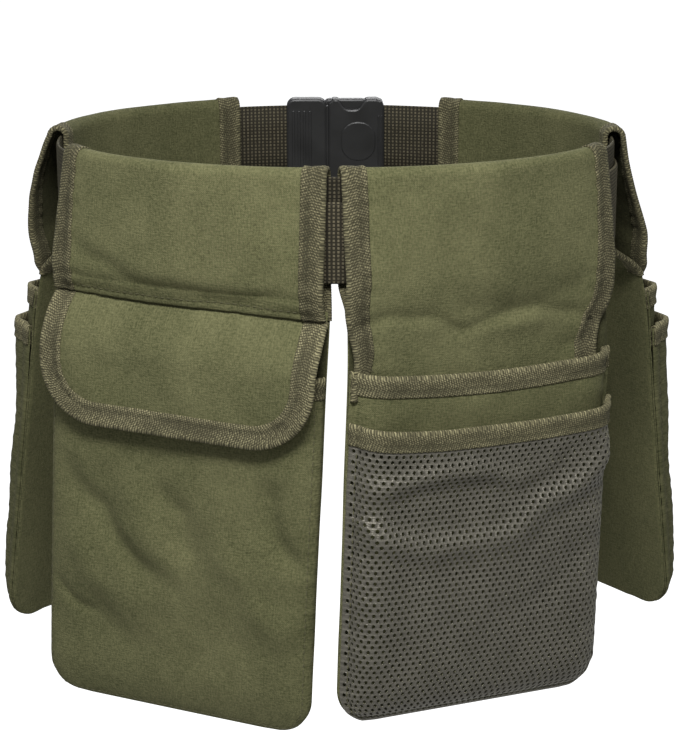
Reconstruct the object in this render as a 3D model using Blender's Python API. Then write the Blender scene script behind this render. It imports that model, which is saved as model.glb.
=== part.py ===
"""Garden tool belt: a webbing waist belt that carries four canvas pouches.

The origin is the centre of the waist opening at the belt's mid height, with +Z up and -Y to the front. Every pouch
is one sheet of canvas that starts at its bottom seam, runs up behind the belt, folds over it and comes down in
front, with pocket panels sewn to it and woven tape bound over its edges. Lengths are metres, and a drop is a
distance straight down from the top of the fold.
"""

import math
from dataclasses import dataclass

import bmesh
import bpy
import numpy as np
from mathutils import Matrix

# Waist loop and its webbing
WAIST_HALF_WIDTH = 0.161  # the belt's inner face in plan, an ellipse
WAIST_HALF_DEPTH = 0.116
BELT_WIDTH = 0.045
BELT_THICKNESS = 0.0018
BELT_SEGMENTS = 66
TAIL_DROP = 0.0133  # how much lower the second layer of webbing runs
TAIL_TUCK = 0.65  # how far it reaches into the flap pouch's sleeve, as a share of that pouch's width
TAIL_SHORT = 0.030  # how far short of the clasp it ends

# Cloth and sewing
CANVAS = 0.0012
MESH_CLOTH = 0.0010
TAPE_THICKNESS = 0.0008
TAPE_WIDTH = 0.0125  # one leg of the folded binding
SEWN_GAP = 0.0004  # clearance between pieces that are sewn or lie together
BELT_ROOM = 0.0008  # clearance between the webbing and the canvas behind it
SLEEVE_ROOM = 0.0012  # clearance between the webbing and the canvas in front of it

# Plain clasp at the back
BUCKLE_LENGTH = 0.062
BUCKLE_THICKNESS = 0.011
BUCKLE_MARGIN = 0.005  # how far it stands past the webbing's edges
BUCKLE_CORNER = 0.006
BUCKLE_GRIP = 0.016  # length of webbing inside each end

HALF_CANVAS = CANVAS / 2
TAPE_STACK = SEWN_GAP + TAPE_THICKNESS  # one tape leg and the gap under it
PLY = CANVAS + SEWN_GAP  # spacing of two canvas layers that touch
BOUND_PLY = PLY + TAPE_STACK  # the same with a tape leg between them
BACK_OUT = -(HALF_CANVAS + TAPE_STACK + BELT_ROOM)  # canvas behind the belt, from the belt's inner face
SLEEVE_OUT = 2 * BELT_THICKNESS + SEWN_GAP + SLEEVE_ROOM + TAPE_STACK + HALF_CANVAS
FOLD_RADIUS = (SLEEVE_OUT - BACK_OUT) / 2
FOLD_TOP = BELT_WIDTH / 2 + FOLD_RADIUS
BELT_END = FOLD_RADIUS + BELT_WIDTH + TAIL_DROP  # drop to the lower edge of the webbing
FLAT_DROP = BELT_END + 0.052  # the drop at which a pouch has stopped following the waist's curve


@dataclass
class Dent:
    """A soft hollow pressed into a pocket, in shares of the pouch it is on."""

    across: float  # of half the width, positive away from the front centre
    down: float  # of the length
    radius: float  # of the width
    depth: float  # of the pocket's belly


@dataclass
class Pocket:
    """One pocket panel; depths are how far its cloth stands off the layer behind it."""

    name: str
    below: float  # from the sleeve's seam down to the middle of the pocket's top edge
    mouth_depth: float
    belly_depth: float
    flange: float  # width of its flat edge outside the bulge, where a second pocket is sewn over it
    thickness: float
    slot: str = "canvas"
    dents: tuple = ()


@dataclass
class Pouch:
    """One pouch on the belt."""

    name: str
    side: int  # 1 on the viewer's right, -1 on the left
    start: float  # along the belt from the front centre to the nearer edge
    width: float  # of the sleeve
    length: float
    seam: float  # drop to where the sleeve's front meets the back
    tongue: float  # how far the canvas in front reaches below the seam
    front_inset: float  # how much narrower that canvas is at its end, on each side
    sleeve_ease: float  # slack of the sleeve's front at its fullest
    hang: float  # how far the body stands out from the belt at the seam
    swing: float  # how much further out the bottom stands
    turn: float  # extra turn of the body's plane, nearer edge outwards, in radians
    flare: float  # share by which the body is wider than the sleeve
    lean: float  # sideways drift per metre of drop, away from the front centre
    tilt: float  # how much lower the far edge hangs than the nearer one, per metre across
    sag: float  # how far the ends of the pockets' top edges stand above their middles
    side_run: float  # how far in from its edge a pocket reaches its full depth
    pockets: tuple
    corner: float = 0.020  # radius of the bottom corners
    plies: int = 0  # further layers that are sewn in between the back and the sleeve's front

    def mouth(self, index):
        """The drop to the middle of a pocket's top edge."""
        return self.seam + self.pockets[index].below

    @property
    def front_end(self):
        """The drop to the end of the canvas that comes down in front."""
        return self.seam + self.tongue


def waist_table(steps=1440):
    """The angle round the waist's ellipse from the front centre, and the distance along the belt to it."""
    turn = np.linspace(0, 2 * math.pi, steps + 1)
    x = WAIST_HALF_WIDTH * np.sin(turn)
    y = -WAIST_HALF_DEPTH * np.cos(turn)
    run = np.concatenate([[0], np.cumsum(np.hypot(np.diff(x), np.diff(y)))])
    return turn, run


TURN, RUN = waist_table()
WAIST_LENGTH = float(RUN[-1])
HALF_WAIST = WAIST_LENGTH / 2

# The front pouches; their near edges stand this far either side of the front centre
FLAP_POUCH_START = 0.0033
MESH_POUCH_START = 0.0020
FLAP_POUCH = Pouch(
    name="flap_pouch", side=-1, start=FLAP_POUCH_START, width=0.1655, length=0.324, seam=BELT_END + 0.0179,
    tongue=0.002, front_inset=0.0, sleeve_ease=0.0015, hang=-0.003, swing=0.004, turn=0.0, flare=0.035,
    lean=0.046, tilt=-0.020, sag=0.0, side_run=0.016, plies=1,
    pockets=(Pocket("pocket", 0.031, 0.0085, 0.0105, 0.0, CANVAS, dents=(
        Dent(-0.60, 0.62, 0.27, 0.30),
        Dent(0.20, 0.70, 0.30, 0.20),
        Dent(0.80, 0.77, 0.21, 0.15),
    )),),
)
MESH_POUCH = Pouch(
    name="mesh_pouch", side=1, start=MESH_POUCH_START, width=0.167, length=0.308, seam=BELT_END + 0.0169,
    tongue=0.046, front_inset=0.010, sleeve_ease=0.0015, hang=0.0, swing=0.018, turn=0.045, flare=0.0,
    lean=-0.072, tilt=0.035, sag=0.004, side_run=0.016,
    pockets=(Pocket("canvas_pocket", 0.031, 0.0120, 0.010, 0.004, CANVAS),
             Pocket("mesh_pocket", 0.0585, 0.008, 0.008, 0.0, MESH_CLOTH, slot="mesh")),
)

# The side pouches; their far edges stand this far from the clasp's ends
SIDE_POUCH_WIDTH = 0.150
LEFT_TO_CLASP = 0.0320
RIGHT_TO_CLASP = 0.0372
LEFT_START = HALF_WAIST - BUCKLE_LENGTH / 2 - LEFT_TO_CLASP - SIDE_POUCH_WIDTH
RIGHT_START = HALF_WAIST - BUCKLE_LENGTH / 2 - RIGHT_TO_CLASP - SIDE_POUCH_WIDTH
SIDE_POCKETS = (Pocket("inner_pocket", 0.011, 0.0125, 0.010, 0.004, CANVAS),
                Pocket("outer_pocket", 0.034, 0.009, 0.008, 0.0, CANVAS))
SIDE_POUCH_LEFT = Pouch(
    name="side_pouch_left", side=-1, start=LEFT_START,
    width=SIDE_POUCH_WIDTH, length=0.308, seam=BELT_END + 0.0279, tongue=0.023, front_inset=0.010,
    sleeve_ease=0.006, hang=0.014, swing=0.007, turn=-0.20, flare=0.0, lean=-0.12, tilt=0.0, sag=0.0,
    side_run=0.010, pockets=SIDE_POCKETS,
)
SIDE_POUCH_RIGHT = Pouch(
    name="side_pouch_right", side=1, start=RIGHT_START,
    width=SIDE_POUCH_WIDTH, length=0.303, seam=BELT_END + 0.0289, tongue=0.023, front_inset=0.010,
    sleeve_ease=0.001, hang=0.017, swing=0.007, turn=-0.135, flare=0.0, lean=-0.10, tilt=0.0, sag=0.0,
    side_run=0.010, pockets=SIDE_POCKETS,
)

# The flap of the front left pouch
FLAP_TUCK = 0.005  # how far its upper edge reaches above the sleeve's seam
FLAP_COVER = 0.046  # how far it reaches below the pocket's mouth
FLAP_CORNER = 0.030
FLAP_SPREAD = 0.002  # how much wider it is than the pouch, on each side, at the bottom
FLAP_LIFT = 0.0040  # how far it stands off the pocket under it
FLAP_FOLLOW = 0.8  # how much of the pocket's section it takes on
FLAP_TAPE_GAP = 0.0015  # from the sleeve's hem to the start of the flap's binding
FLAP_TOP = FLAP_POUCH.seam - FLAP_TUCK
FLAP_BOTTOM = FLAP_POUCH.mouth(0) + FLAP_COVER
FLAP_TAPE_START = FLAP_POUCH.front_end + FLAP_TAPE_GAP

# Shape of the pockets and bindings
POCKET_DOME = 0.15  # how much shallower a pocket is at its sides than in its middle
BELLY_AT = 0.4  # the share of a pocket's height by which it reaches its belly's depth
BOTTOM_POWER = 8  # how squarely a pocket closes at its bottom
SAG_REACH = 0.039  # how far below the last mouth's tape the sag fades out
TAPE_ROUND = 0.8  # how rounded a binding's turn is
INSET_LEAD = 0.008  # how far above the seam the canvas in front starts to narrow
INSET_DONE = 0.002  # how far above the first pocket's mouth it has narrowed

# Where the body canvas is divided; the columns are shares of half the width
SLEEVE_COLUMNS = 7  # steps between the two bound edges
SIDE_STEPS = (0.15, 0.5, 1.0)  # columns on a pocket's side, as shares of its run
FLANGED_STEPS = (0.0, 0.3, 1.0)  # the same for a pocket with a flat edge
CORNER_SHARES = (0.0, 0.5, 0.8, 0.96, 1.0)
BODY_STEP = 0.035

COLOURS = {  # linear red, green, blue; roughness
    "canvas": ((0.115, 0.117, 0.056), 0.9),
    "tape": ((0.095, 0.083, 0.050), 0.8),
    "webbing": ((0.060, 0.056, 0.038), 0.75),
    "mesh": ((0.075, 0.068, 0.055), 0.6),
    "buckle": ((0.012, 0.012, 0.012), 0.45),
}


def clear_scene():
    """Removes every object of the open scene."""
    for obj in list(bpy.data.objects):
        bpy.data.objects.remove(obj, do_unlink=True)


def smooth(value):
    """A soft step from 0 to 1 as the value goes from 0 to 1."""
    value = min(max(value, 0.0), 1.0)
    return value * value * (3 - 2 * value)


def waist_at(distance):
    """Plan point, tangent and outward normal of the belt's inner face at a distance from the front centre."""
    turn = float(np.interp(distance % WAIST_LENGTH, RUN, TURN))
    point = np.array([WAIST_HALF_WIDTH * math.sin(turn), -WAIST_HALF_DEPTH * math.cos(turn)])
    tangent = np.array([WAIST_HALF_WIDTH * math.cos(turn), WAIST_HALF_DEPTH * math.sin(turn)])
    tangent /= np.linalg.norm(tangent)
    return point, tangent, np.array([tangent[1], -tangent[0]])


def closing(pouch, drop):
    """How far the sleeve has closed between the webbing's lower edge and the seam, 0 to 1."""
    return smooth((drop - BELT_END) / (pouch.seam - BELT_END))


def place(pouch, across, drop, out, behind=False):
    """World point of a spot on a pouch: across from its centre line, below the fold, out from the belt's face.

    Near the belt the cloth follows the waist's curve. Lower down it hangs in a flat plane of its own.
    """
    flatness = smooth(drop / FLAT_DROP)
    hung = closing(pouch, drop)
    if behind:
        flatness *= hung
    elif pouch.hang > 0:
        hung = min(drop / pouch.seam, 1.0)
    middle = pouch.start + pouch.width / 2
    centre, tangent, normal = waist_at(middle)
    on_curve, _, facing = waist_at(middle + across)
    along_plane = math.cos(pouch.turn) * tangent - math.sin(pouch.turn) * normal
    on_plane = centre + across * (1 + pouch.flare) * along_plane
    facing = (1 - flatness) * facing + flatness * normal
    below = max(drop - pouch.seam, 0.0)
    swung = pouch.hang * hung + pouch.swing * below / (pouch.length - pouch.seam)
    point = (1 - flatness) * on_curve + flatness * on_plane + out * facing / np.linalg.norm(facing)
    point = point + tangent * pouch.lean * below + normal * swung
    return np.array([pouch.side * point[0], point[1], FOLD_TOP - drop - pouch.tilt * across * flatness])


def half_width(pouch, drop):
    """Half the pouch's width at a drop, with its rounded bottom corners."""
    into = min(max(drop - (pouch.length - pouch.corner), 0.0), pouch.corner)
    return pouch.width / 2 - pouch.corner + math.sqrt(max(pouch.corner**2 - into**2, 0.0))


def corner_drops(pouch):
    """Drops of the rows that follow the bottom corners."""
    return [pouch.length - pouch.corner * (1 - share) for share in CORNER_SHARES]


def sleeve_columns(pouch):
    """Across positions of the sleeve: its edges, the inner edges of the binding and even steps between."""
    leg = 1 - TAPE_WIDTH / (pouch.width / 2)
    return [-1.0, *np.linspace(-leg, leg, SLEEVE_COLUMNS + 1), 1.0]


def seat(pouch):
    """Where the sleeve's front lies at the seam: clear of the back, of both tapes and of any layer between."""
    return BACK_OUT + BOUND_PLY + TAPE_STACK + PLY * pouch.plies


def sleeve_out(pouch, drop):
    """How far out the sleeve's front layer runs at a drop."""
    share = min(max((drop - FOLD_RADIUS) / (pouch.seam - FOLD_RADIUS), 0.0), 1.0)
    fullness = math.sin(math.pi * share**0.8) * pouch.sleeve_ease
    return SLEEVE_OUT + (seat(pouch) - SLEEVE_OUT) * closing(pouch, drop) + fullness


def behind_drops(pouch):
    """Drops of the canvas behind the belt, from its bottom seam up to the fold."""
    pocket = pouch.mouth(0)
    start = pouch.length - pouch.corner
    body = np.linspace(start, pocket, round((start - pocket) / BODY_STEP) + 1)[1:]
    return [*corner_drops(pouch)[::-1], *body, pouch.seam, (pouch.seam + BELT_END) / 2, BELT_END,
            FOLD_RADIUS + BELT_WIDTH / 2, FOLD_RADIUS]


BEHIND_SEAM = 5  # the seam is this many rows before the end of that list


def front_drops(pouch):
    """Drops of the canvas in front, from the fold to its lower end."""
    upper = np.linspace(FOLD_RADIUS, BELT_END, 4)
    lower = np.linspace(BELT_END, pouch.seam, 3)[1:]
    if pouch.front_end < inset_end(pouch):
        return [*upper, *lower, pouch.front_end]
    tongue = np.linspace(pouch.seam, inset_end(pouch), 3)[1:]
    return [*upper, *lower, *tongue, pouch.front_end]


def inset_end(pouch):
    """The drop by which the canvas in front is narrow enough to pass into the first pocket."""
    return pouch.mouth(0) - INSET_DONE


def front_half_width(pouch, drop):
    """Half the width of the canvas in front, which narrows where it goes into the first pocket."""
    start = pouch.seam - INSET_LEAD
    return pouch.width / 2 - pouch.front_inset * smooth((drop - start) / (inset_end(pouch) - start))


def back_grid(pouch):
    """Mid surface of the canvas that runs up behind the belt, over it and down in front, as rows of points."""
    shares = sleeve_columns(pouch)
    rows = []
    for drop in behind_drops(pouch):
        half = half_width(pouch, drop)
        rows.append([place(pouch, c * half, drop, BACK_OUT, behind=True) for c in shares])
    middle = (BACK_OUT + SLEEVE_OUT) / 2
    for angle in (math.radians(135), math.radians(90), math.radians(45)):
        out = middle + FOLD_RADIUS * math.cos(angle)
        drop = FOLD_RADIUS * (1 - math.sin(angle))
        rows.append([place(pouch, c * pouch.width / 2, drop, out) for c in shares])
    for drop in front_drops(pouch):
        half = front_half_width(pouch, drop)
        rows.append([place(pouch, c * half, drop, sleeve_out(pouch, drop)) for c in shares])
    return np.array(rows)


def pocket_drops(pouch):
    """Rows that all of a pouch's pockets share: their mouths, the tapes' lower edges, the body and the corners."""
    mouths = [pouch.mouth(index) for index in range(len(pouch.pockets))]
    marks = sorted(drop for mouth in mouths for drop in (mouth, mouth + TAPE_WIDTH))
    start = pouch.length - pouch.corner
    body = np.linspace(marks[-1], start, round((start - marks[-1]) / BODY_STEP) + 1)[1:-1]
    return [*marks, *body, *corner_drops(pouch)]


def pocket_columns(pouch, index):
    """Across positions of a pocket's columns: its edges, its sides and its middle."""
    pocket = pouch.pockets[index]
    steps = FLANGED_STEPS if pocket.flange else SIDE_STEPS
    sides = [pouch.width / 2 - pocket.flange - step * pouch.side_run for step in steps]
    middle = [pouch.width / 4] if pocket.dents else []
    positive = [*middle, *sides[::-1], pouch.width / 2]
    return [*(-across for across in reversed(positive)), 0.0, *positive]


def dented(pouch, pocket, across, drop):
    """How far a pocket's dents press its cloth in."""
    pressed = 0.0
    for dent in pocket.dents:
        off = math.hypot(across - dent.across * pouch.width / 2, drop - dent.down * pouch.length)
        pressed += dent.depth * pocket.belly_depth * (1 - smooth(off / (dent.radius * pouch.width)))
    return pressed


def section(pouch, pocket, across):
    """A pocket's depth across its width, as a share: flat edges, rounded sides and a slightly domed middle."""
    inside = pouch.width / 2 - pocket.flange - abs(across)
    rise = min(max(inside / pouch.side_run, 0.0), 1.0)
    return math.sqrt(rise * (2 - rise)) * (1 - POCKET_DOME * (across / (pouch.width / 2)) ** 2)


def pocket_out(pouch, index, across, drop):
    """How far out a pocket's cloth stands from the belt's inner face, over all the layers behind it."""
    out = BACK_OUT
    behind = CANVAS
    for number, pocket in enumerate(pouch.pockets[: index + 1]):
        mouth = pouch.mouth(number)
        past_tape = smooth((drop - mouth - TAPE_WIDTH) / (2 * TAPE_WIDTH))
        run = min(max(drop - mouth, 0.0) / (pouch.length - pocket.flange - mouth), 1.0)
        depth = pocket.mouth_depth + (pocket.belly_depth - pocket.mouth_depth) * smooth(run / BELLY_AT)
        depth -= dented(pouch, pocket, across, drop)
        out += (behind + pocket.thickness) / 2 + SEWN_GAP + TAPE_STACK * (1 - past_tape)
        out += depth * section(pouch, pocket, across) * math.sqrt(1 - run**BOTTOM_POWER)
        behind = pocket.thickness
    return out


def pocket_grid(pouch, index):
    """Mid surface of a pocket panel, rows from its mouth down to the bottom seam."""
    rows = []
    sag_end = pouch.mouth(len(pouch.pockets) - 1) + TAPE_WIDTH + SAG_REACH
    for drop in pocket_drops(pouch):
        if drop < pouch.mouth(index):
            continue
        narrowing = half_width(pouch, drop) / (pouch.width / 2)
        sag = pouch.sag * smooth((sag_end - drop) / (SAG_REACH + TAPE_WIDTH))
        rows.append([
            place(pouch, across * narrowing, drop + sag * (1 - (2 * across / pouch.width) ** 2),
                  pocket_out(pouch, index, across, drop))
            for across in pocket_columns(pouch, index)
        ])
    return np.array(rows)


def flap_point(across, drop):
    """World point on the flap's mid surface, standing off the pocket under it."""
    pouch = FLAP_POUCH
    mouth = pouch.mouth(0)
    tucked = BACK_OUT + BOUND_PLY
    under = pocket_out(pouch, 0, FLAP_FOLLOW * across, max(drop, mouth))
    over = under + CANVAS + 2 * TAPE_STACK + FLAP_LIFT
    out = tucked + (over - tucked) * smooth((drop - pouch.front_end) / (mouth - pouch.front_end))
    return place(pouch, across, drop, out)


def flap_normal(across, drop, step=0.001):
    """Unit normal of the flap's mid surface, turned away from the wearer."""
    along = flap_point(across + step, drop) - flap_point(across - step, drop)
    down = flap_point(across, drop + step) - flap_point(across, drop - step)
    normal = np.cross(down, along) * FLAP_POUCH.side
    return normal / np.linalg.norm(normal)


def grid_normals(grid, side):
    """Unit normals of a grid of points, turned away from the wearer."""
    normals = np.cross(np.gradient(grid, axis=0), np.gradient(grid, axis=1)) * side
    return normals / np.linalg.norm(normals, axis=2, keepdims=True)


def material(name, slot):
    """A Principled material in the colour of its slot."""
    made = bpy.data.materials.new(name)
    made.use_nodes = True
    colour, roughness = COLOURS[slot]
    shader = made.node_tree.nodes["Principled BSDF"]
    shader.inputs["Base Color"].default_value = (*colour, 1)
    shader.inputs["Roughness"].default_value = roughness
    return made


def mesh_object(name, vertices, faces, slot):
    """A closed mesh object with its faces turned outwards and its own material."""
    mesh = bpy.data.meshes.new(name)
    mesh.from_pydata([tuple(v) for v in vertices], [], faces)
    shape = bmesh.new()
    shape.from_mesh(mesh)
    bmesh.ops.recalc_face_normals(shape, faces=shape.faces)
    shape.to_mesh(mesh)
    shape.free()
    mesh.shade_smooth()
    mesh.set_sharp_from_angle(angle=math.radians(35))
    mesh.materials.append(material(name, slot))
    obj = bpy.data.objects.new(name, mesh)
    bpy.context.scene.collection.objects.link(obj)
    return obj


def thickened(name, points, normals, faces, rim, thickness, slot):
    """A cloth panel: its mid surface offset to both sides and closed round its rim."""
    skins = np.concatenate([points + normals * thickness / 2, points - normals * thickness / 2])
    far = len(points)
    shell = [*faces, *(tuple(far + i for i in reversed(face)) for face in faces)]
    for a, b in zip(rim, [*rim[1:], rim[0]]):
        shell += [(a, far + a, far + b), (a, far + b, b)]
    return mesh_object(name, skins, shell, slot)


def split(a, b, c, d):
    """The two triangles of a quad, divided from its first to its third corner."""
    return [(a, b, c), (a, c, d)]


def sheet(name, grid, normals, thickness, slot="canvas"):
    """A cloth panel from a grid of points, each quad divided the same way."""
    rows, cols = grid.shape[:2]
    faces = []
    for r in range(rows - 1):
        for c in range(cols - 1):
            near = r * cols + c
            faces += split(near, near + 1, near + cols + 1, near + cols)
    rim = [*range(cols), *(r * cols + cols - 1 for r in range(1, rows)),
           *((rows - 1) * cols + c for c in range(cols - 2, -1, -1)), *(r * cols for r in range(rows - 2, 0, -1))]
    return thickened(name, grid.reshape(-1, 3), normals.reshape(-1, 3), faces, rim, thickness, slot)


def swept(name, sections, slot, rising=()):
    """A closed solid through a row of closed sections, with flat ends.

    Quads are divided from the first section up to the second, or the other way for the steps named as rising.
    """
    count, around = sections.shape[:2]
    faces = [tuple(range(around)), tuple(range((count - 1) * around, count * around))[::-1]]
    for s in range(count - 1):
        for k in range(around):
            a, b = s * around + k, s * around + (k + 1) % around
            faces += split(a + around, b + around, b, a) if k in rising else split(a, a + around, b + around, b)
    return mesh_object(name, sections.reshape(-1, 3), faces, slot)


def bound_edge(name, edge, inner, edge_normals, inner_normals, thickness, edge_first):
    """Binding folded over a panel's edge: a leg on each face and the turn round the edge."""
    near = thickness / 2 + SEWN_GAP
    far = near + TAPE_THICKNESS
    outward = edge - inner
    outward /= np.linalg.norm(outward, axis=1, keepdims=True)
    loop = [
        inner + inner_normals * far,
        inner + inner_normals * near,
        edge + edge_normals * near + outward * SEWN_GAP,
        edge - edge_normals * near + outward * SEWN_GAP,
        inner - inner_normals * near,
        inner - inner_normals * far,
        edge - edge_normals * far * TAPE_ROUND + outward * TAPE_STACK * TAPE_ROUND,
        edge + edge_normals * far * TAPE_ROUND + outward * TAPE_STACK * TAPE_ROUND,
    ]
    return swept(name, np.array(loop).transpose(1, 0, 2), "tape", rising=(1, 5) if edge_first else (3, 7))


def band(name, start, end, top, inner_out, segments):
    """A band of webbing along the waist, between two distances from the front centre."""
    sections = []
    for distance in np.linspace(start, end, segments + 1):
        point, _, normal = waist_at(distance)
        inner, outer = point + normal * inner_out, point + normal * (inner_out + BELT_THICKNESS)
        sections.append([(*inner, top), (*outer, top), (*outer, top - BELT_WIDTH), (*inner, top - BELT_WIDTH)])
    return swept(name, np.array(sections), "webbing")


def make_belt():
    """The waist belt and its second, lower layer."""
    half = HALF_WAIST - (BUCKLE_LENGTH / 2 - BUCKLE_GRIP)
    band("belt_webbing", -half, half, BELT_WIDTH / 2, 0.0, BELT_SEGMENTS)
    start = -(FLAP_POUCH.start + TAIL_TUCK * FLAP_POUCH.width)
    end = HALF_WAIST - BUCKLE_LENGTH / 2 - TAIL_SHORT
    segments = round(BELT_SEGMENTS * (end - start) / (2 * half))
    band("belt_tail", start, end, BELT_WIDTH / 2 - TAIL_DROP, BELT_THICKNESS + SEWN_GAP, segments)


def webbing_cutter(word, side):
    """The hidden cutter for one slot of the clasp: the webbing's own run, wider by the sewing clearance."""
    outer = HALF_WAIST + side * (BUCKLE_LENGTH / 2 + BUCKLE_MARGIN)
    inner = HALF_WAIST + side * (BUCKLE_LENGTH / 2 - BUCKLE_GRIP - SEWN_GAP)
    half = BELT_WIDTH / 2 + SEWN_GAP
    sections = []
    for distance in np.linspace(inner, outer, 4):
        point, _, normal = waist_at(distance)
        near, far = point - normal * SEWN_GAP, point + normal * (BELT_THICKNESS + SEWN_GAP)
        sections.append([(*near, half), (*far, half), (*far, -half), (*near, -half)])
    cutter = swept(f"cutter_{word}", np.array(sections), "buckle")
    cutter.hide_render = True
    cutter.display_type = "WIRE"
    return cutter


def make_buckle():
    """A plain rounded block at the back, with a slot in each end for the webbing."""
    back = waist_at(HALF_WAIST)[0][1] + BELT_THICKNESS / 2
    shape = bmesh.new()
    bmesh.ops.create_cube(shape, size=1)
    height = BELT_WIDTH + 2 * BUCKLE_MARGIN
    bmesh.ops.transform(shape, matrix=Matrix.Diagonal((BUCKLE_LENGTH, BUCKLE_THICKNESS, height, 1)), verts=shape.verts)
    bmesh.ops.translate(shape, vec=(0, back, 0), verts=shape.verts)
    through = [e for e in shape.edges if abs(e.verts[0].co.y - e.verts[1].co.y) > BUCKLE_THICKNESS / 2]
    bmesh.ops.bevel(shape, geom=through, offset=BUCKLE_CORNER, segments=4, profile=0.5, affect="EDGES")
    mesh = bpy.data.meshes.new("back_buckle")
    shape.to_mesh(mesh)
    shape.free()
    mesh.materials.append(material("back_buckle", "buckle"))
    buckle = bpy.data.objects.new("back_buckle", mesh)
    bpy.context.scene.collection.objects.link(buckle)
    for word, side in (("left", -1), ("right", 1)):
        cut = buckle.modifiers.new(f"slot_{word}", "BOOLEAN")
        cut.operation = "DIFFERENCE"
        cut.solver = "EXACT"
        cut.object = webbing_cutter(word, side)


def make_pouch(pouch):
    """One pouch: its back and sleeve, the sleeve's bindings, and each pocket with its bound mouth."""
    grid = back_grid(pouch)
    normals = grid_normals(grid, pouch.side)
    sheet(f"{pouch.name}_back", grid, normals, CANVAS)
    first = len(behind_drops(pouch)) - BEHIND_SEAM
    for word, edge, inner in (("front", 0, 1), ("rear", -1, -2)):
        bound_edge(f"{pouch.name}_sleeve_binding_{word}", grid[first:, edge], grid[first:, inner],
                   normals[first:, edge], normals[first:, inner], CANVAS, edge_first=edge == 0)
    for index, pocket in enumerate(pouch.pockets):
        panel = pocket_grid(pouch, index)
        facing = grid_normals(panel, pouch.side)
        sheet(f"{pouch.name}_{pocket.name}", panel, facing, pocket.thickness, pocket.slot)
        bound_edge(f"{pouch.name}_{pocket.name}_binding", panel[0], panel[1], facing[0], facing[1],
                   pocket.thickness, edge_first=True)


def flap_outline():
    """The flap's rows: for each, the drop and half width of the cloth inside the binding, and the way outwards."""
    rows = []
    inner_corner = FLAP_CORNER - TAPE_WIDTH
    corner_start = FLAP_BOTTOM - FLAP_CORNER
    for drop in (FLAP_TOP, FLAP_TAPE_START, *np.linspace(FLAP_TAPE_START, corner_start, 4)[1:-1]):
        spread = FLAP_SPREAD * smooth((drop - FLAP_TOP) / (corner_start - FLAP_TOP))
        rows.append((drop, FLAP_POUCH.width / 2 + spread - TAPE_WIDTH, (1.0, 0.0)))
    full = FLAP_POUCH.width / 2 + FLAP_SPREAD
    for angle in np.radians((0, 22, 45, 68, 90)):
        rows.append((corner_start + inner_corner * math.sin(angle),
                     full - FLAP_CORNER + inner_corner * math.cos(angle), (math.cos(angle), math.sin(angle))))
    return rows


def make_flap():
    """The flap of the front left pouch, and the tape round its sides and lower edge."""
    shares = np.linspace(-1, 1, 7)
    inner, outer = [], []
    rows = flap_outline()
    for drop, half, (sideways, downward) in rows:
        for c in shares:
            inner.append((c * half, drop))
            if abs(c) == 1:
                outer.append((len(inner) - 1, (c * half + c * sideways * TAPE_WIDTH, drop + downward * TAPE_WIDTH)))
    last = len(inner) - len(shares)
    middle = [(last + k, (inner[last + k][0], inner[last + k][1] + TAPE_WIDTH)) for k in range(1, len(shares) - 1)]
    left, right = outer[0::2], outer[1::2]
    ring = [*left, *middle, *right[::-1]]
    flat = np.array([*inner, *(spot for _, spot in ring)])
    points = np.array([flap_point(*spot) for spot in flat])
    normals = np.array([flap_normal(*spot) for spot in flat])
    cols = len(shares)
    faces = []
    for r in range(len(rows) - 1):
        for c in range(cols - 1):
            near = r * cols + c
            faces += split(near, near + 1, near + cols + 1, near + cols)
    for k in range(len(ring) - 1):
        faces += split(ring[k][0], ring[k + 1][0], len(inner) + k + 1, len(inner) + k)
    rim = [*range(len(inner), len(points)), *range(cols - 1, -1, -1)]
    thickened("flap_pouch_flap", points, normals, faces, rim, CANVAS, "canvas")
    bound = range(1, len(ring) - 1)
    at_rim = [len(inner) + k for k in bound]
    inside = [ring[k][0] for k in bound]
    bound_edge("flap_pouch_flap_binding", points[at_rim], points[inside], normals[at_rim], normals[inside], CANVAS,
               edge_first=False)


def main():
    """Builds the whole belt."""
    clear_scene()
    make_belt()
    make_buckle()
    for pouch in (FLAP_POUCH, MESH_POUCH, SIDE_POUCH_LEFT, SIDE_POUCH_RIGHT):
        make_pouch(pouch)
    make_flap()


main()
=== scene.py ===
"""Dresses a garden tool belt: fine canvas panels, bound edges, webbing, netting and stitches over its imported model.

Lengths are metres, with +Z up and -Y to the front. A drop is a distance straight down from the top of the fold, and a
spot on a panel is given as a distance across from its centre line and a distance down the cloth.
"""

import math
from collections import namedtuple

import bmesh
import bpy
import numpy as np
from bpy.props import FloatProperty, FloatVectorProperty, PointerProperty
from bpy.types import Operator, Panel, PropertyGroup
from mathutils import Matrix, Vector


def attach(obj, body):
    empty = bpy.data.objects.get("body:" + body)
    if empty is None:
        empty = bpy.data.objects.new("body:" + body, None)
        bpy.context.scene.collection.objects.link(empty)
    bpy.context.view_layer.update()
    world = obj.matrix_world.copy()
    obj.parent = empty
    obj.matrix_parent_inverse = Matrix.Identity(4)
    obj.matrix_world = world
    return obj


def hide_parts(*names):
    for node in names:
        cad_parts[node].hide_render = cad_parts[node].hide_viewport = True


bl_info = {
    "name": "Garden Tool Belt",
    "version": (1, 0, 0),
    "blender": (4, 5, 0),
    "location": "View3D > Sidebar > Tool Belt",
    "description": "Builds a garden tool belt with four canvas pouches",
    "category": "Add Mesh",
}

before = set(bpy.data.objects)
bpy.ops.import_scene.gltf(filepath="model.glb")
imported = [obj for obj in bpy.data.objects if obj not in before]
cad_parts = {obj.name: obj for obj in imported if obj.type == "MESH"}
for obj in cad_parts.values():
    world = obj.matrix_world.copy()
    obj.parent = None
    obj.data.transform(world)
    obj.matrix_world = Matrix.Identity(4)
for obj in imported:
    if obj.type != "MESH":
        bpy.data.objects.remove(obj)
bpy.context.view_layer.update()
BODY = "root"

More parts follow.
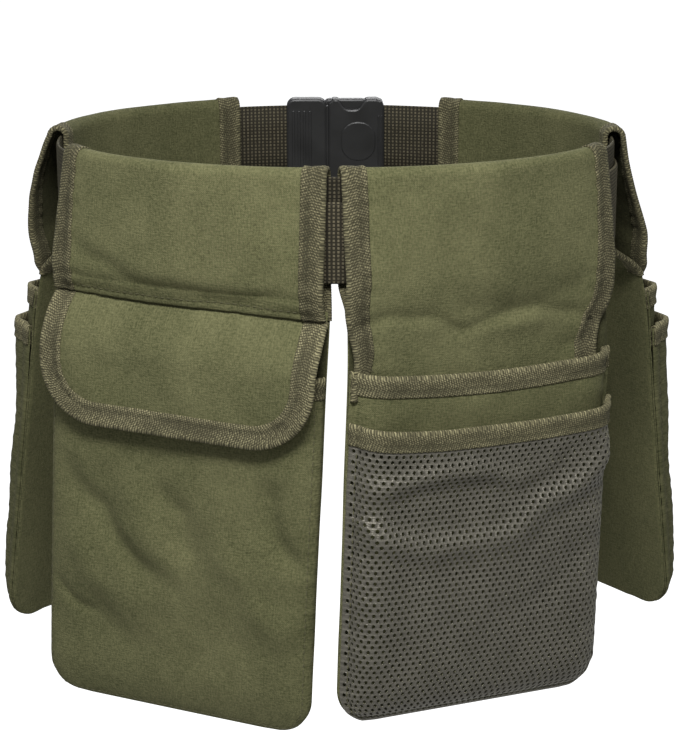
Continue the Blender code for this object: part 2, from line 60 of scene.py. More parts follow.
# Waist loop and its webbing
WAIST_HALF_WIDTH = 0.161
WAIST_HALF_DEPTH = 0.116
BELT_WIDTH = 0.045
BELT_THICKNESS = 0.0018
TAIL_DROP = 0.0133  # how much lower the second layer lies
TAIL_TUCK = 0.65  # share of the flap pouch's width that it runs in behind
TAIL_SHORT = 0.030  # how far it ends before the clasp
CLASP_LENGTH = 0.062
CLASP_GRIP = 0.016  # how far the webbing runs into the clasp

# Cloth
CANVAS = 0.0012
NETTING = 0.0010
TAPE_THICKNESS = 0.0008
TAPE_WIDTH = 0.0125
SEWN_GAP = 0.0004
BACK_SLACK = 0.0008
FRONT_SLACK = 0.0012
TAPE_STACK = SEWN_GAP + TAPE_THICKNESS
WEAVE_PITCH = 0.0011
PLY = CANVAS + SEWN_GAP
BOUND_PLY = PLY + TAPE_STACK
BACK_OUT = -(CANVAS / 2 + TAPE_STACK + BACK_SLACK)
SLEEVE_OUT = 2 * BELT_THICKNESS + SEWN_GAP + FRONT_SLACK + TAPE_STACK + CANVAS / 2
FOLD_RADIUS = (SLEEVE_OUT - BACK_OUT) / 2
FOLD_TOP = BELT_WIDTH / 2 + FOLD_RADIUS
BELT_END = FOLD_RADIUS + BELT_WIDTH + TAIL_DROP
FLAT_DROP = BELT_END + 0.052  # from here down a pouch no longer follows the waist's curve

# Shape of the pockets
POCKET_DOME = 0.15  # share by which a pocket is less deep at its sides than in its middle
BELLY_AT = 0.4  # share of its height, from the mouth, at which it reaches its belly's depth
BOTTOM_POWER = 8  # the higher, the nearer to the bottom it closes
SAG_REACH = 0.039  # how far below the last mouth's tape the sag of the mouths runs out
INSET_LEAD = 0.008  # how far above the seam the canvas in front starts to narrow
INSET_DONE = 0.002  # how far above the first mouth it has narrowed

# below is from the seam to the mouth; the depths are how far the pocket stands open at its mouth and at its belly; the
# flange is how far in from the pouch's edge it is sewn
Pocket = namedtuple("Pocket", "name below mouth_depth belly_depth flange thickness slot",
                    defaults=(0.0, CANVAS, "canvas"))
# side is 1 on the viewer's right; start is along the belt from the front centre; seam is the drop to where the sleeve's
# front meets the back, and tongue how far it reaches below; hang and swing are how far the body stands out at the seam
# and further out at the bottom; turn is in radians; lean is sideways per metre of drop and tilt downwards per metre
# across; sag is of the pockets' mouths; within side_run of its edge a pocket reaches its full depth
Pouch = namedtuple(
    "Pouch",
    "name side start width length seam tongue front_inset sleeve_ease hang swing turn flare lean tilt sag side_run"
    " pockets corner plies",
    defaults=(0.020, 0),
)
Fold = namedtuple("Fold", "across down to_across to_down width height")


def waist_table(steps=1440):
    """The angle round the waist's ellipse and the distance along the belt to it."""
    turn = np.linspace(0, 2 * math.pi, steps + 1)
    x = WAIST_HALF_WIDTH * np.sin(turn)
    y = -WAIST_HALF_DEPTH * np.cos(turn)
    return turn, np.concatenate([[0], np.cumsum(np.hypot(np.diff(x), np.diff(y)))])


TURN, RUN = waist_table()
WAIST_LENGTH = float(RUN[-1])
HALF_WAIST = WAIST_LENGTH / 2
SIDE_WIDTH = 0.150
LEFT_TO_CLASP = 0.0320
RIGHT_TO_CLASP = 0.0372
LEFT_START = HALF_WAIST - CLASP_LENGTH / 2 - LEFT_TO_CLASP - SIDE_WIDTH
RIGHT_START = HALF_WAIST - CLASP_LENGTH / 2 - RIGHT_TO_CLASP - SIDE_WIDTH
SIDE_POCKETS = (Pocket("inner_pocket", 0.011, 0.0175, 0.0130, 0.004), Pocket("outer_pocket", 0.034, 0.0120, 0.0100))
FLAP_POUCH = Pouch(
    name="flap_pouch", side=-1, start=0.0033, width=0.1655, length=0.324, seam=BELT_END + 0.0179, tongue=-0.0015,
    front_inset=0.0, sleeve_ease=0.0015, hang=-0.003, swing=0.004, turn=0.0, flare=0.035, lean=0.046, tilt=-0.020,
    sag=0.0, side_run=0.016, plies=1, pockets=(Pocket("pocket", 0.031, 0.0085, 0.0105),),
)
MESH_POUCH = Pouch(
    name="mesh_pouch", side=1, start=0.0020, width=0.167, length=0.308, seam=BELT_END + 0.0169, tongue=0.046,
    front_inset=0.010, sleeve_ease=0.0015, hang=0.0, swing=0.018, turn=0.045, flare=0.0, lean=-0.072, tilt=0.035,
    sag=0.004, side_run=0.016,
    pockets=(Pocket("canvas_pocket", 0.031, 0.0120, 0.010, 0.004),
             Pocket("mesh_pocket", 0.0585, 0.008, 0.008, 0.0, NETTING, "mesh")),
)
SIDE_LEFT = Pouch(
    name="side_pouch_left", side=-1, start=LEFT_START, width=SIDE_WIDTH, length=0.312, seam=BELT_END + 0.0279,
    tongue=0.023, front_inset=0.010, sleeve_ease=0.006, hang=0.014, swing=0.007, turn=-0.20, flare=0.0, lean=-0.12,
    tilt=0.0, sag=0.0, side_run=0.007, pockets=SIDE_POCKETS,
)
SIDE_RIGHT = SIDE_LEFT._replace(
    name="side_pouch_right", side=1, start=RIGHT_START, length=0.305, seam=BELT_END + 0.0289, sleeve_ease=0.001,
    hang=0.017, turn=-0.135, lean=-0.10,
)
POUCHES = (FLAP_POUCH, MESH_POUCH, SIDE_LEFT, SIDE_RIGHT)

# The flap
FLAP_TUCK = 0.005  # how far its upper edge reaches above the sleeve's seam
FLAP_COVER = 0.0392  # how far it reaches below the pocket's mouth
FLAP_CORNER = 0.036
FLAP_LIFT = 0.0040  # how far it stands off the pocket under it
FLAP_FOLLOW = 0.8  # how much of the pocket's section it takes on
FLAP_TAPE_GAP = 0.0015  # from the sleeve's foot to the start of the flap's binding
FLAP_LEAD = 0.0012  # how far above the sleeve's foot it starts to come out
FLAP_EASE = 1.8  # the higher, the sooner it reaches its full distance out
FLAP_CURL = 0.0012  # how far its lower edge curls out
FLAP_CURL_REACH = 0.014
# How far each pouch's cloth stays inside its width, at its front and rear edges
TRIM = {"flap_pouch": (0.0, 0.0030), "mesh_pouch": (0.0012, 0.0015)}
# How far the sleeves' front edges at the gap are drawn back besides, at these drops
DRAWN_AT = (0.0, 0.020, 0.060, 0.090, 0.126)
DRAWN_BACK = {"flap_pouch": (0.0020, 0.0020, 0.0012, 0.0006, 0.0006),
              "mesh_pouch": (0.0018, 0.0018, -0.0005, -0.0055, -0.0090)}
TWIST = 0.045  # length of the mesh pouch's front tape that turns edge-on above the pocket
MOUTH_REACH = 0.88  # share of the tape's width that shows at a pocket's mouth
# How far above the belt's lower edge and below the seam a sleeve's front layer starts and ends its way in
EASED = {"mesh_pouch": (0.006, 0.027)}
HEM = 0.0080  # height of the turned hem at the foot of the flap pouch's sleeve
HEM_STITCHES = 0.0045  # height of its stitches
HEM_PUCKERS = 0.0040  # height at which it puckers most
HEM_ROWS = 0.0115  # up to this height above its foot a sleeve has close rows of points
STITCH_INSET = 0.0038  # of the stitches from the tape's inner edge
SEAM_INSET = 0.0030  # of a pocket's stitches from the pouch's edge
BEAD_HEIGHT = 0.0021  # of the webbing's beads of yarn, down the belt
NET_START = 0.006  # from the netting's upper edge to its first holes
NET_EDGE = 0.0014  # width of its edge without holes
HOLE_ACROSS = 0.48  # a hole's width as a share of the pitch
HOLE_DOWN = 0.80  # a hole's height as a share of the rows' distance
HOLE_CORNER = (0.72, 0.70)  # how far its slanting corners reach, across and down, as shares of that
CORD, CORD_AT_HOLE = 0.00052, 0.00030  # half the netting's thickness between its holes and at their rims
NET_BORDER = 0.0005  # and in the parts without holes

# Soft folds pressed into the cloth: where each starts and ends, across as a share of half the width and down in
# metres from the fold's top, then its width and how far it stands out
SLEEVE_FOLDS = {
    "flap_pouch": (
        Fold(0.85, 0.0500, 0.50, 0.0600, 0.0050, -0.0010),
        Fold(0.55, 0.0590, 0.04, 0.0690, 0.0050, -0.0013),
        Fold(0.04, 0.0690, -0.90, 0.0600, 0.0045, -0.0014),
        Fold(0.75, 0.0440, -0.10, 0.0590, 0.0070, 0.0008),
        Fold(-0.20, 0.0200, -0.75, 0.0450, 0.0120, 0.0006),
    ),
    "mesh_pouch": (
        Fold(-0.95, 0.0885, -0.55, 0.0825, 0.0038, -0.0017),
        Fold(-0.55, 0.0835, -0.15, 0.0925, 0.0038, -0.0020),
        Fold(-0.15, 0.0925, 0.90, 0.0935, 0.0040, -0.0022),
        Fold(0.85, 0.0660, -0.05, 0.0800, 0.0070, -0.0013),
        Fold(0.60, 0.0820, -0.30, 0.0840, 0.0060, 0.0012),
        Fold(0.95, 0.0900, 0.60, 0.1100, 0.0060, -0.0013),
        Fold(-0.85, 0.0960, -0.60, 0.1130, 0.0060, 0.0010),
    ),
    "side_pouch_left": (Fold(-0.8, 0.030, 0.3, 0.060, 0.010, 0.0014), Fold(-0.9, 0.078, 0.6, 0.074, 0.006, -0.0015)),
    "side_pouch_right": (Fold(-0.8, 0.050, 0.5, 0.070, 0.009, 0.0012), Fold(-0.9, 0.078, 0.6, 0.076, 0.006, -0.0015)),
}
POCKET_FOLDS = {
    "flap_pouch": (
        Fold(0.88, 0.180, 0.55, 0.205, 0.0080, -0.0030),
        Fold(0.55, 0.205, 0.14, 0.240, 0.0075, -0.0038),
        Fold(0.78, 0.222, 0.28, 0.262, 0.0130, 0.0032),
        Fold(0.35, 0.185, 0.00, 0.235, 0.0120, 0.0032),
        Fold(0.14, 0.187, -0.06, 0.200, 0.0065, -0.0026),
        Fold(-0.06, 0.199, -0.15, 0.226, 0.0075, -0.0026),
        Fold(-0.30, 0.185, -0.55, 0.235, 0.0130, 0.0032),
        Fold(-0.70, 0.176, -0.77, 0.212, 0.0070, -0.0038),
        Fold(-0.75, 0.210, -1.02, 0.221, 0.0065, -0.0038),
        Fold(-0.55, 0.245, -0.95, 0.262, 0.0110, 0.0032),
        Fold(0.92, 0.253, 0.60, 0.270, 0.0035, -0.0022),
        Fold(0.60, 0.262, 0.20, 0.290, 0.0140, -0.0022),
    ),
    "mesh_pouch": (
        Fold(-0.88, 0.173, 0.20, 0.172, 0.0072, 0.0044),
        Fold(0.97, 0.157, 0.42, 0.191, 0.0078, 0.0048),
        Fold(0.42, 0.191, -0.22, 0.208, 0.0085, 0.0037),
        Fold(-0.22, 0.208, -0.98, 0.191, 0.0075, 0.0046),
        Fold(0.62, 0.160, 0.20, 0.182, 0.0060, -0.0012),
        Fold(0.30, 0.226, 0.90, 0.205, 0.0080, 0.0016),
        Fold(0.80, 0.215, 0.20, 0.250, 0.0080, -0.0014),
        Fold(-0.60, 0.245, 0.40, 0.252, 0.0110, 0.0012),
    ),
    "side_pouch_left": (Fold(-0.7, 0.15, 0.4, 0.22, 0.010, 0.0018), Fold(-0.2, 0.22, 0.7, 0.27, 0.012, -0.0016)),
    "side_pouch_right": (Fold(-0.6, 0.14, 0.5, 0.20, 0.010, 0.0018), Fold(-0.8, 0.21, 0.3, 0.26, 0.012, -0.0016)),
}


def length_setting(name, description, default, low, high):
    """A setting for a length."""
    return FloatProperty(name=name, description=description, default=default, min=low, max=high, precision=5,
                         unit="LENGTH")


def colour_setting(name, description, default):
    """A setting for a colour."""
    return FloatVectorProperty(name=name, description=description, default=default, subtype="COLOR", size=3, min=0,
                               max=1)


class ClothSettings(PropertyGroup):
    """Sizes of the cloth's details."""

    rib_pitch: length_setting("Tape rib pitch", "Distance between the binding tape's ribs", 0.0015, 0.0008, 0.004)
    rib_height: length_setting("Tape rib height", "How far the ribs stand out of the tape", 0.00015, 0.0, 0.001)
    bead_pitch: length_setting("Webbing rib pitch", "Distance between the webbing's ribs", 0.0024, 0.001, 0.006)
    net_pitch: length_setting("Netting pitch", "Distance between the netting's holes", 0.0041, 0.002, 0.01)
    net_rows: length_setting("Netting rows", "Distance between the netting's rows of holes", 0.0030, 0.002, 0.01)
    stitch: length_setting("Stitch length", "Length of one stitch", 0.0027, 0.001, 0.008)
    grid: length_setting("Cloth grid", "Distance between the points of a canvas panel", 0.0024, 0.001, 0.01)


class ColourSettings(PropertyGroup):
    """Colours of the belt's materials."""

    canvas_light: colour_setting("Canvas, light yarn", "Canvas where it has faded", (0.202, 0.196, 0.096))
    canvas_dark: colour_setting("Canvas, dark yarn", "Canvas between the yarns", (0.068, 0.073, 0.031))
    tape_light: colour_setting("Tape, light yarn", "The tape's raised yarns", (0.362, 0.328, 0.185))
    tape_dark: colour_setting("Tape, dark yarn", "Tape between its ribs", (0.030, 0.028, 0.016))
    webbing_light: colour_setting("Webbing, light yarn", "The webbing's raised yarns", (0.170, 0.148, 0.094))
    webbing_dark: colour_setting("Webbing, dark yarn", "Webbing between its ribs", (0.018, 0.016, 0.011))
    netting: colour_setting("Netting", "The netting's yarn", (0.115, 0.108, 0.086))
    thread: colour_setting("Thread", "The sewing thread", (0.110, 0.105, 0.055))
    clasp: colour_setting("Clasp", "The clasp's plastic", (0.012, 0.012, 0.012))


def colours():
    """The scene's colour settings."""
    return bpy.context.scene.toolbelt_colours


def sizes():
    """The scene's cloth settings."""
    return bpy.context.scene.toolbelt_cloth


def smooth(value):
    """A soft step from 0 to 1."""
    value = np.clip(value, 0.0, 1.0)
    return value * value * (3 - 2 * value)


def unit(vectors):
    """The vectors at length 1."""
    return vectors / np.maximum(np.linalg.norm(vectors, axis=-1, keepdims=True), 1e-12)


def run_along(line):
    """The distance along a line of points to each of them."""
    return np.concatenate([[0], np.cumsum(np.linalg.norm(np.diff(line, axis=0), axis=1))])


def waist_at(distance):
    """Plan points, tangents and outward normals of the belt's inner face."""
    turn = np.interp(np.mod(distance, WAIST_LENGTH), RUN, TURN)
    point = np.stack([WAIST_HALF_WIDTH * np.sin(turn), -WAIST_HALF_DEPTH * np.cos(turn)], -1)
    tangent = unit(np.stack([WAIST_HALF_WIDTH * np.cos(turn), WAIST_HALF_DEPTH * np.sin(turn)], -1))
    return point, tangent, np.stack([tangent[..., 1], -tangent[..., 0]], -1)


def closing(pouch, drop):
    """How far the sleeve has closed between the webbing's lower edge and the seam."""
    return smooth((drop - BELT_END) / (pouch.seam - BELT_END))


def place(pouch, across, drop, out, fore=1.0):
    """World points of spots on a pouch; fore is 1 in front of the belt and 0 behind it."""
    front, rear = TRIM.get(pouch.name, (0.0, 0.0))
    share = across / pouch.width + 0.5
    across = across + front * (1 - share) - rear * share
    closed = closing(pouch, drop)
    flatness = smooth(drop / FLAT_DROP) * (fore + (1 - fore) * closed)
    before = np.minimum(drop / pouch.seam, 1.0) if pouch.hang > 0 else closed
    hung = fore * before + (1 - fore) * closed
    middle = pouch.start + pouch.width / 2
    centre, tangent, normal = waist_at(middle)
    on_curve, _, facing = waist_at(middle + across)
    along_plane = math.cos(pouch.turn) * tangent - math.sin(pouch.turn) * normal
    on_plane = centre + (across * (1 + pouch.flare))[..., None] * along_plane
    mix = flatness[..., None]
    facing = unit((1 - mix) * facing + mix * normal)
    below = np.maximum(drop - pouch.seam, 0.0)
    swung = pouch.hang * hung + pouch.swing * below / (pouch.length - pouch.seam)
    plan = (1 - mix) * on_curve + mix * on_plane + out[..., None] * facing
    plan = plan + (pouch.lean * below)[..., None] * tangent + swung[..., None] * normal
    return np.stack([pouch.side * plan[..., 0], plan[..., 1], FOLD_TOP - drop - pouch.tilt * across * flatness], -1)


def half_width(pouch, drop):
    """Half the pouch's width, with its rounded bottom corners."""
    into = np.clip(drop - (pouch.length - pouch.corner), 0.0, pouch.corner)
    return pouch.width / 2 - pouch.corner + np.sqrt(np.maximum(pouch.corner**2 - into**2, 0.0))


def sleeve_out(pouch, drop):
    """How far out the sleeve's front layer runs."""
    share = np.clip((drop - FOLD_RADIUS) / (pouch.seam - FOLD_RADIUS), 0.0, 1.0)
    seat = BACK_OUT + BOUND_PLY + TAPE_STACK + PLY * pouch.plies
    above, below = EASED.get(pouch.name, (0.0, 0.0))
    closed = smooth((drop - BELT_END + above) / (pouch.seam + below - BELT_END + above))
    return SLEEVE_OUT + (seat - SLEEVE_OUT) * closed + np.sin(math.pi * share**0.8) * pouch.sleeve_ease


def front_half_width(pouch, drop):
    """Half the width of the canvas in front, which narrows on its way into the first pocket."""
    start = pouch.seam - INSET_LEAD
    end = pouch.seam + pouch.pockets[0].below - INSET_DONE
    return pouch.width / 2 - pouch.front_inset * smooth((drop - start) / (end - start))


def ripples(across, down, seed, reach):
    """A soft random relief of about -1 to 1, with waves of about that reach."""
    rng = np.random.default_rng(seed)
    total = 0.0
    for _ in range(9):
        angle, phase, size = rng.uniform(0, math.tau), rng.uniform(0, math.tau), reach * rng.uniform(0.7, 1.6)
        total = total + np.sin(math.tau * (across * math.cos(angle) + down * math.sin(angle)) / size + phase)
    return total / 4.0


def pressed(folds, half, across, down):
    """The relief of a table of soft folds."""
    total = np.zeros(np.broadcast(across, down).shape)
    for fold in folds:
        start = np.array([fold.across * half, fold.down])
        run = np.array([fold.to_across * half, fold.to_down]) - start
        length = math.hypot(*run)
        along = ((across - start[0]) * run[0] + (down - start[1]) * run[1]) / length**2
        aside = ((across - start[0]) * run[1] - (down - start[1]) * run[0]) / length
        bow = 0.10 * length * np.sin(math.pi * np.clip(along, 0, 1))
        fade = smooth((along + 0.25) / 0.5) * smooth((1.25 - along) / 0.5)
        total += fold.height * fade * np.exp(-(((aside - bow) / fold.width) ** 2))
    return total


def puckers(off, run, seed):
    """Small puckers beside a line of stitches; off is the distance from it and run the distance along it."""
    rng = np.random.default_rng(seed)
    waves = sum(np.sin(math.tau * run / rng.uniform(0.006, 0.012) + rng.uniform(0, 6)) for _ in range(3))
    return 0.00013 * waves * np.exp(-((off / 0.006) ** 2))


class Cloth:
    """A cloth panel: it maps spots on the cloth to world points."""

    outward = 1

    def base(self, across, down):
        """World points of the panel's plain form."""
        raise NotImplementedError

    def relief(self, across, down):
        """How far the cloth stands off its plain form."""
        return np.zeros(np.shape(across))

    def normal(self, across, down, step=0.0006):
        """Unit normals of the plain form, away from the wearer in front."""
        along = self.base(across + step, down) - self.base(across - step, down)
        run = self.base(across, down + step) - self.base(across, down - step)
        return unit(np.cross(run, along) * self.outward)

    def at(self, across, down, off=0.0):
        """World points of the cloth's mid surface, or at a distance off it."""
        across, down = np.broadcast_arrays(np.asarray(across, float), np.asarray(down, float))
        return self.base(across, down) + self.normal(across, down) * (self.relief(across, down) + off)[..., None]


class Sleeve(Cloth):
    """The canvas that comes down in front of the belt; its run goes up in front, over the fold and down behind."""

    def __init__(self, pouch):
        self.pouch = pouch
        self.foot = pouch.seam + pouch.tongue
        self.rise = self.foot - FOLD_RADIUS
        self.arc = math.pi * FOLD_RADIUS
        self.seam_behind = self.rise + self.arc + pouch.seam - FOLD_RADIUS
        self.end = self.rise + self.arc + pouch.length - FOLD_RADIUS
        self.outward = -pouch.side

    def profile(self, run):
        """Drop, distance out and share in front for a distance along the run."""
        angle = np.clip((run - self.rise) / FOLD_RADIUS, 0.0, math.pi)
        drop = np.where(run < self.rise, self.foot - run,
                        np.where(run < self.rise + self.arc, FOLD_RADIUS * (1 - np.sin(angle)),
                                 FOLD_RADIUS + run - self.rise - self.arc))
        middle = (BACK_OUT + SLEEVE_OUT) / 2
        arc = middle + FOLD_RADIUS * np.cos(angle)
        out = np.where(run < self.rise, sleeve_out(self.pouch, drop), np.where(angle < math.pi, arc, BACK_OUT))
        return drop, out, (1 + np.cos(angle)) / 2

    def half(self, run):
        """Half the cloth's width along the run."""
        drop, _, fore = self.profile(run)
        return np.where(fore > 0.5, front_half_width(self.pouch, drop), half_width(self.pouch, drop))

    def base(self, across, down):
        drop, out, fore = self.profile(down)
        half = self.pouch.width / 2
        drawn = fore * np.interp(drop, DRAWN_AT, DRAWN_BACK.get(self.pouch.name, (0.0,) * 5))
        return place(self.pouch, across + drawn * (half - across) / (2 * half), drop, out, fore)

    def relief(self, across, down):
        pouch = self.pouch
        drop, _, fore = self.profile(down)
        seed = 11 + len(pouch.name)
        front = pressed(SLEEVE_FOLDS[pouch.name], pouch.width / 2, across, drop)
        front = front + 0.00070 * ripples(across, drop, seed, 0.06) + 0.00018 * ripples(across, drop, seed + 1, 0.019)
        if pouch is FLAP_POUCH:
            # The hem's step, its rolled foot, its fullness and the groove under its stitches
            above = self.foot - drop
            front = front + 0.0007 * (1 - smooth((above - HEM) / 0.0022)) - 0.0003 * (1 - smooth(above / 0.002))
            front = front + 0.0011 * (1 - smooth(above / 0.012))
            front = front - 0.0003 * np.exp(-(((above - 0.0035) / 0.001) ** 2))
            front = front + puckers(above - HEM_PUCKERS, across, seed)
        behind = 0.00025 * ripples(across, drop, seed + 2, 0.05) * smooth((drop - BELT_END) / 0.03)
        edge = puckers(self.half(down) - np.abs(across) - TAPE_WIDTH, down, seed + 3)
        return fore**3 * front + (1 - fore) ** 3 * behind + edge


class PocketPanel(Cloth):
    """One pocket's cloth, from its mouth down to the bottom seam."""

    def __init__(self, pouch, index):
        self.pouch = pouch
        self.index = index
        self.pocket = pouch.pockets[index]
        self.mouth = pouch.seam + self.pocket.below
        self.outward = pouch.side
        last_mouth = pouch.seam + pouch.pockets[-1].below
        self.sag_end = last_mouth + TAPE_WIDTH + SAG_REACH

    def out(self, across, drop):
        """How far the cloth stands from the belt's inner face, over the layers behind it."""
        pouch = self.pouch
        out = np.full(np.broadcast(across, drop).shape, BACK_OUT)
        behind = CANVAS
        for pocket in pouch.pockets[: self.index + 1]:
            mouth = pouch.seam + pocket.below
            past_tape = smooth((drop - mouth - TAPE_WIDTH) / (2 * TAPE_WIDTH))
            run = np.clip((drop - mouth) / (pouch.length - pocket.flange - mouth), 0.0, 1.0)
            depth = pocket.mouth_depth + (pocket.belly_depth - pocket.mouth_depth) * smooth(run / BELLY_AT)
            rise = np.clip((pouch.width / 2 - pocket.flange - np.abs(across)) / pouch.side_run, 0.0, 1.0)
            shape = np.sqrt(rise * (2 - rise)) * (1 - POCKET_DOME * (across / (pouch.width / 2)) ** 2)
            out = out + (behind + pocket.thickness) / 2 + SEWN_GAP + TAPE_STACK * (1 - past_tape)
            out = out + depth * shape * np.sqrt(1 - run**BOTTOM_POWER)
            behind = pocket.thickness
        return out

    def base(self, across, down):
        pouch = self.pouch
        narrowing = half_width(pouch, down) / (pouch.width / 2)
        sag = pouch.sag * smooth((self.sag_end - down) / (SAG_REACH + TAPE_WIDTH))
        drop = down + sag * (1 - (2 * across / pouch.width) ** 2)
        return place(pouch, across * narrowing, drop, self.out(across, down))

    def relief(self, across, down):
        pouch = self.pouch
        seed = 40 + 3 * self.index + len(pouch.name)
        inside = np.clip((pouch.width / 2 - np.abs(across)) / 0.011, 0, 1)
        lower = smooth((pouch.length - down) / 0.03)
        folds = pressed(POCKET_FOLDS[pouch.name], pouch.width / 2, across, down)
        if self.index < len(pouch.pockets) - 1:
            folds = folds * 0.3
        soft = 0.0011 * ripples(across, down, seed, 0.07) + 0.00028 * ripples(across, down, seed + 1, 0.021)
        sewn = puckers(pouch.width / 2 - np.abs(across) - 0.004, down, seed + 2)
        return (folds + soft) * smooth(inside) * lower + sewn

    def columns(self, spacing):
        """Across positions at even distances over the cloth's own surface."""
        fine = np.linspace(-self.pouch.width / 2, self.pouch.width / 2, 1601)
        middle = np.full_like(fine, (self.mouth + self.pouch.length) / 2)
        line = self.base(fine, middle)
        run = run_along(line)
        count = round(run[-1] / spacing)
        return np.interp(np.linspace(0, run[-1], count + 1), run, fine), run[-1]


class FlapPanel(Cloth):
    """The flap over the front left pouch's pocket."""

    def __init__(self):
        self.pouch = FLAP_POUCH
        self.pocket = PocketPanel(FLAP_POUCH, 0)
        self.top = FLAP_POUCH.seam - FLAP_TUCK
        self.bottom = self.pocket.mouth + FLAP_COVER
        self.foot = FLAP_POUCH.seam + FLAP_POUCH.tongue
        self.tape_start = self.foot + FLAP_TAPE_GAP
        self.corner_start = self.bottom - FLAP_CORNER
        self.outward = FLAP_POUCH.side

    def half(self, drop):
        """Half the flap's width, with its rounded corners."""
        into = np.clip(drop - self.corner_start, 0, FLAP_CORNER)
        return self.pouch.width / 2 - FLAP_CORNER + np.sqrt(FLAP_CORNER**2 - into**2)

    def base(self, across, down):
        foot, mouth = self.foot, self.pocket.mouth
        under = self.pocket.out(FLAP_FOLLOW * across, np.maximum(down, mouth))
        over = under + CANVAS + 2 * TAPE_STACK + FLAP_LIFT
        tucked = BACK_OUT + BOUND_PLY
        share = np.clip((down - foot + FLAP_LEAD) / (mouth - foot), 0.0, 1.0)
        return place(self.pouch, across, down, tucked + (over - tucked) * (1 - (1 - share) ** FLAP_EASE))

    def relief(self, across, down):
        below = smooth((down - self.tape_start) / 0.012)
        soft = 0.0009 * ripples(across, down, 71, 0.06) + 0.00022 * ripples(across, down, 72, 0.019)
        curl = FLAP_CURL * smooth((down - self.bottom + FLAP_CURL_REACH) / FLAP_CURL_REACH)
        edge = puckers(self.half(down) - np.abs(across) - TAPE_WIDTH, down, 73)
        return below * (soft + curl + edge)


class Link:
    """A node's output in a Python expression: arithmetic on it adds Math nodes."""

    def __init__(self, graph, socket):
        self.graph = graph
        self.socket = socket

    def math(self, operation, *values):
        """One Math node."""
        return self.graph.add("ShaderNodeMath", {"operation": operation}, dict(enumerate(values)))

    def __add__(self, other):
        return self.math("ADD", self, other)

    __radd__ = __add__

    def __sub__(self, other):
        return self.math("SUBTRACT", self, other)

    def __rsub__(self, other):
        return self.math("SUBTRACT", other, self)

    def __mul__(self, other):
        return self.math("MULTIPLY", self, other)

    __rmul__ = __mul__

    def __abs__(self):
        return self.math("ABSOLUTE", self)

    def wave(self, kind, pitch):
        """The value's SINE or COSINE, which repeats at each pitch."""
        return self.math(kind, self * (math.tau / pitch))


class Finish:
    """A material's nodes, with one Principled shader."""

    def __init__(self, name, roughness, sheen=0.0, sheen_roughness=0.5, specular=0.3):
        self.material = bpy.data.materials.new(name)
        self.material.use_nodes = True
        self.nodes = self.material.node_tree.nodes
        self.links = self.material.node_tree.links
        self.shader = self.nodes["Principled BSDF"]
        self.set(self.shader, {"Roughness": roughness, "Sheen Weight": sheen, "Sheen Roughness": sheen_roughness,
                               "Sheen Tint": (0.60, 0.58, 0.36, 1.0), "Specular IOR Level": specular})

    def set(self, node, values):
        """Sets or links the sockets of a node."""
        for key, value in values.items():
            if isinstance(value, Link):
                self.links.new(value.socket, node.inputs[key])
            else:
                node.inputs[key].default_value = value

    def add(self, kind, settings=None, values=None, output=0):
        """Adds one node: its settings first, then its sockets; gives one of its outputs."""
        node = self.nodes.new(kind)
        for key, value in (settings or {}).items():
            setattr(node, key, value)
        self.set(node, values or {})
        return Link(self, node.outputs[output])

    def uv(self):
        """The cloth's own coordinates in metres: the vector, the distance across and the distance along."""
        vector = self.add("ShaderNodeUVMap", {"uv_map": "cloth"})
        return vector, self.add("ShaderNodeSeparateXYZ", None, {0: vector}), self.add(
            "ShaderNodeSeparateXYZ", None, {0: vector}, output=1)

    def stretched(self, vector, scale, detail=1.0, roughness=0.5):
        """Noise over the cloth at a scale across and along, in cells per metre, spread to fill 0 to 1."""
        scaled = self.add("ShaderNodeVectorMath", {"operation": "MULTIPLY"}, {0: vector, 1: (*scale, 1.0)})
        noise = self.add("ShaderNodeTexNoise", {"noise_dimensions": "2D"},
                         {"Vector": scaled, "Scale": 1.0, "Detail": detail, "Roughness": roughness})
        return self.ramp(noise, 0.28, 0.72)

    def ramp(self, value, low, high):
        """The value's range from low to high, as 0 to 1."""
        return self.add("ShaderNodeMapRange", {"interpolation_type": "SMOOTHSTEP"},
                        {"Value": value, "From Min": low, "From Max": high})

    def mixed(self, factor, first, second):
        """A colour between two colours."""
        return self.add("ShaderNodeMix", {"data_type": "RGBA"}, {0: factor, 6: first, 7: second}, output=2)

    def coloured(self, tone, dark, light):
        """Feeds a colour between two colours to the shader."""
        self.set(self.shader, {"Base Color": self.mixed(tone, dark, light)})

    def bumped(self, height, distance, strength=1.0):
        """Feeds a height to the shader's normal."""
        bump = self.add("ShaderNodeBump", None, {"Height": height, "Distance": distance, "Strength": strength})
        self.set(self.shader, {"Normal": bump})


def rgba(colour, scale=1.0):
    """A colour with alpha, darker or lighter by a scale."""
    return (*(channel * scale for channel in colour), 1.0)


def canvas_finish(name, shade=1.0):
    """Plain woven cotton canvas: uneven yarns both ways, faded in soft patches."""
    made = Finish(name, 0.92, sheen=0.08, sheen_roughness=0.6, specular=0.10)
    vector, across, along = made.uv()
    warp = made.stretched(vector, (1250, 230), 1.5)
    weft = made.stretched(vector, (230, 1250), 1.5)
    speck = made.stretched(vector, (900, 900), 2.0, 0.6)
    patches = made.stretched(vector, (60, 42), 3.0, 0.6)
    wide = made.stretched(vector, (13, 10), 2.0)
    yarns = warp * 0.28 + weft * 0.28 + speck * 0.44
    tone = (yarns - 0.5) * 0.85 + 0.5 + (patches - 0.5) * 0.14 + (wide - 0.5) * 0.18
    made.coloured(tone, rgba(colours().canvas_dark, shade), rgba(colours().canvas_light, shade))
    weave = across.wave("SINE", WEAVE_PITCH) * along.wave("SINE", WEAVE_PITCH)
    made.bumped(weave * 0.35 + warp * 0.5 + weft * 0.5 + speck * 0.5, 0.00022, 0.8)
    return made.material


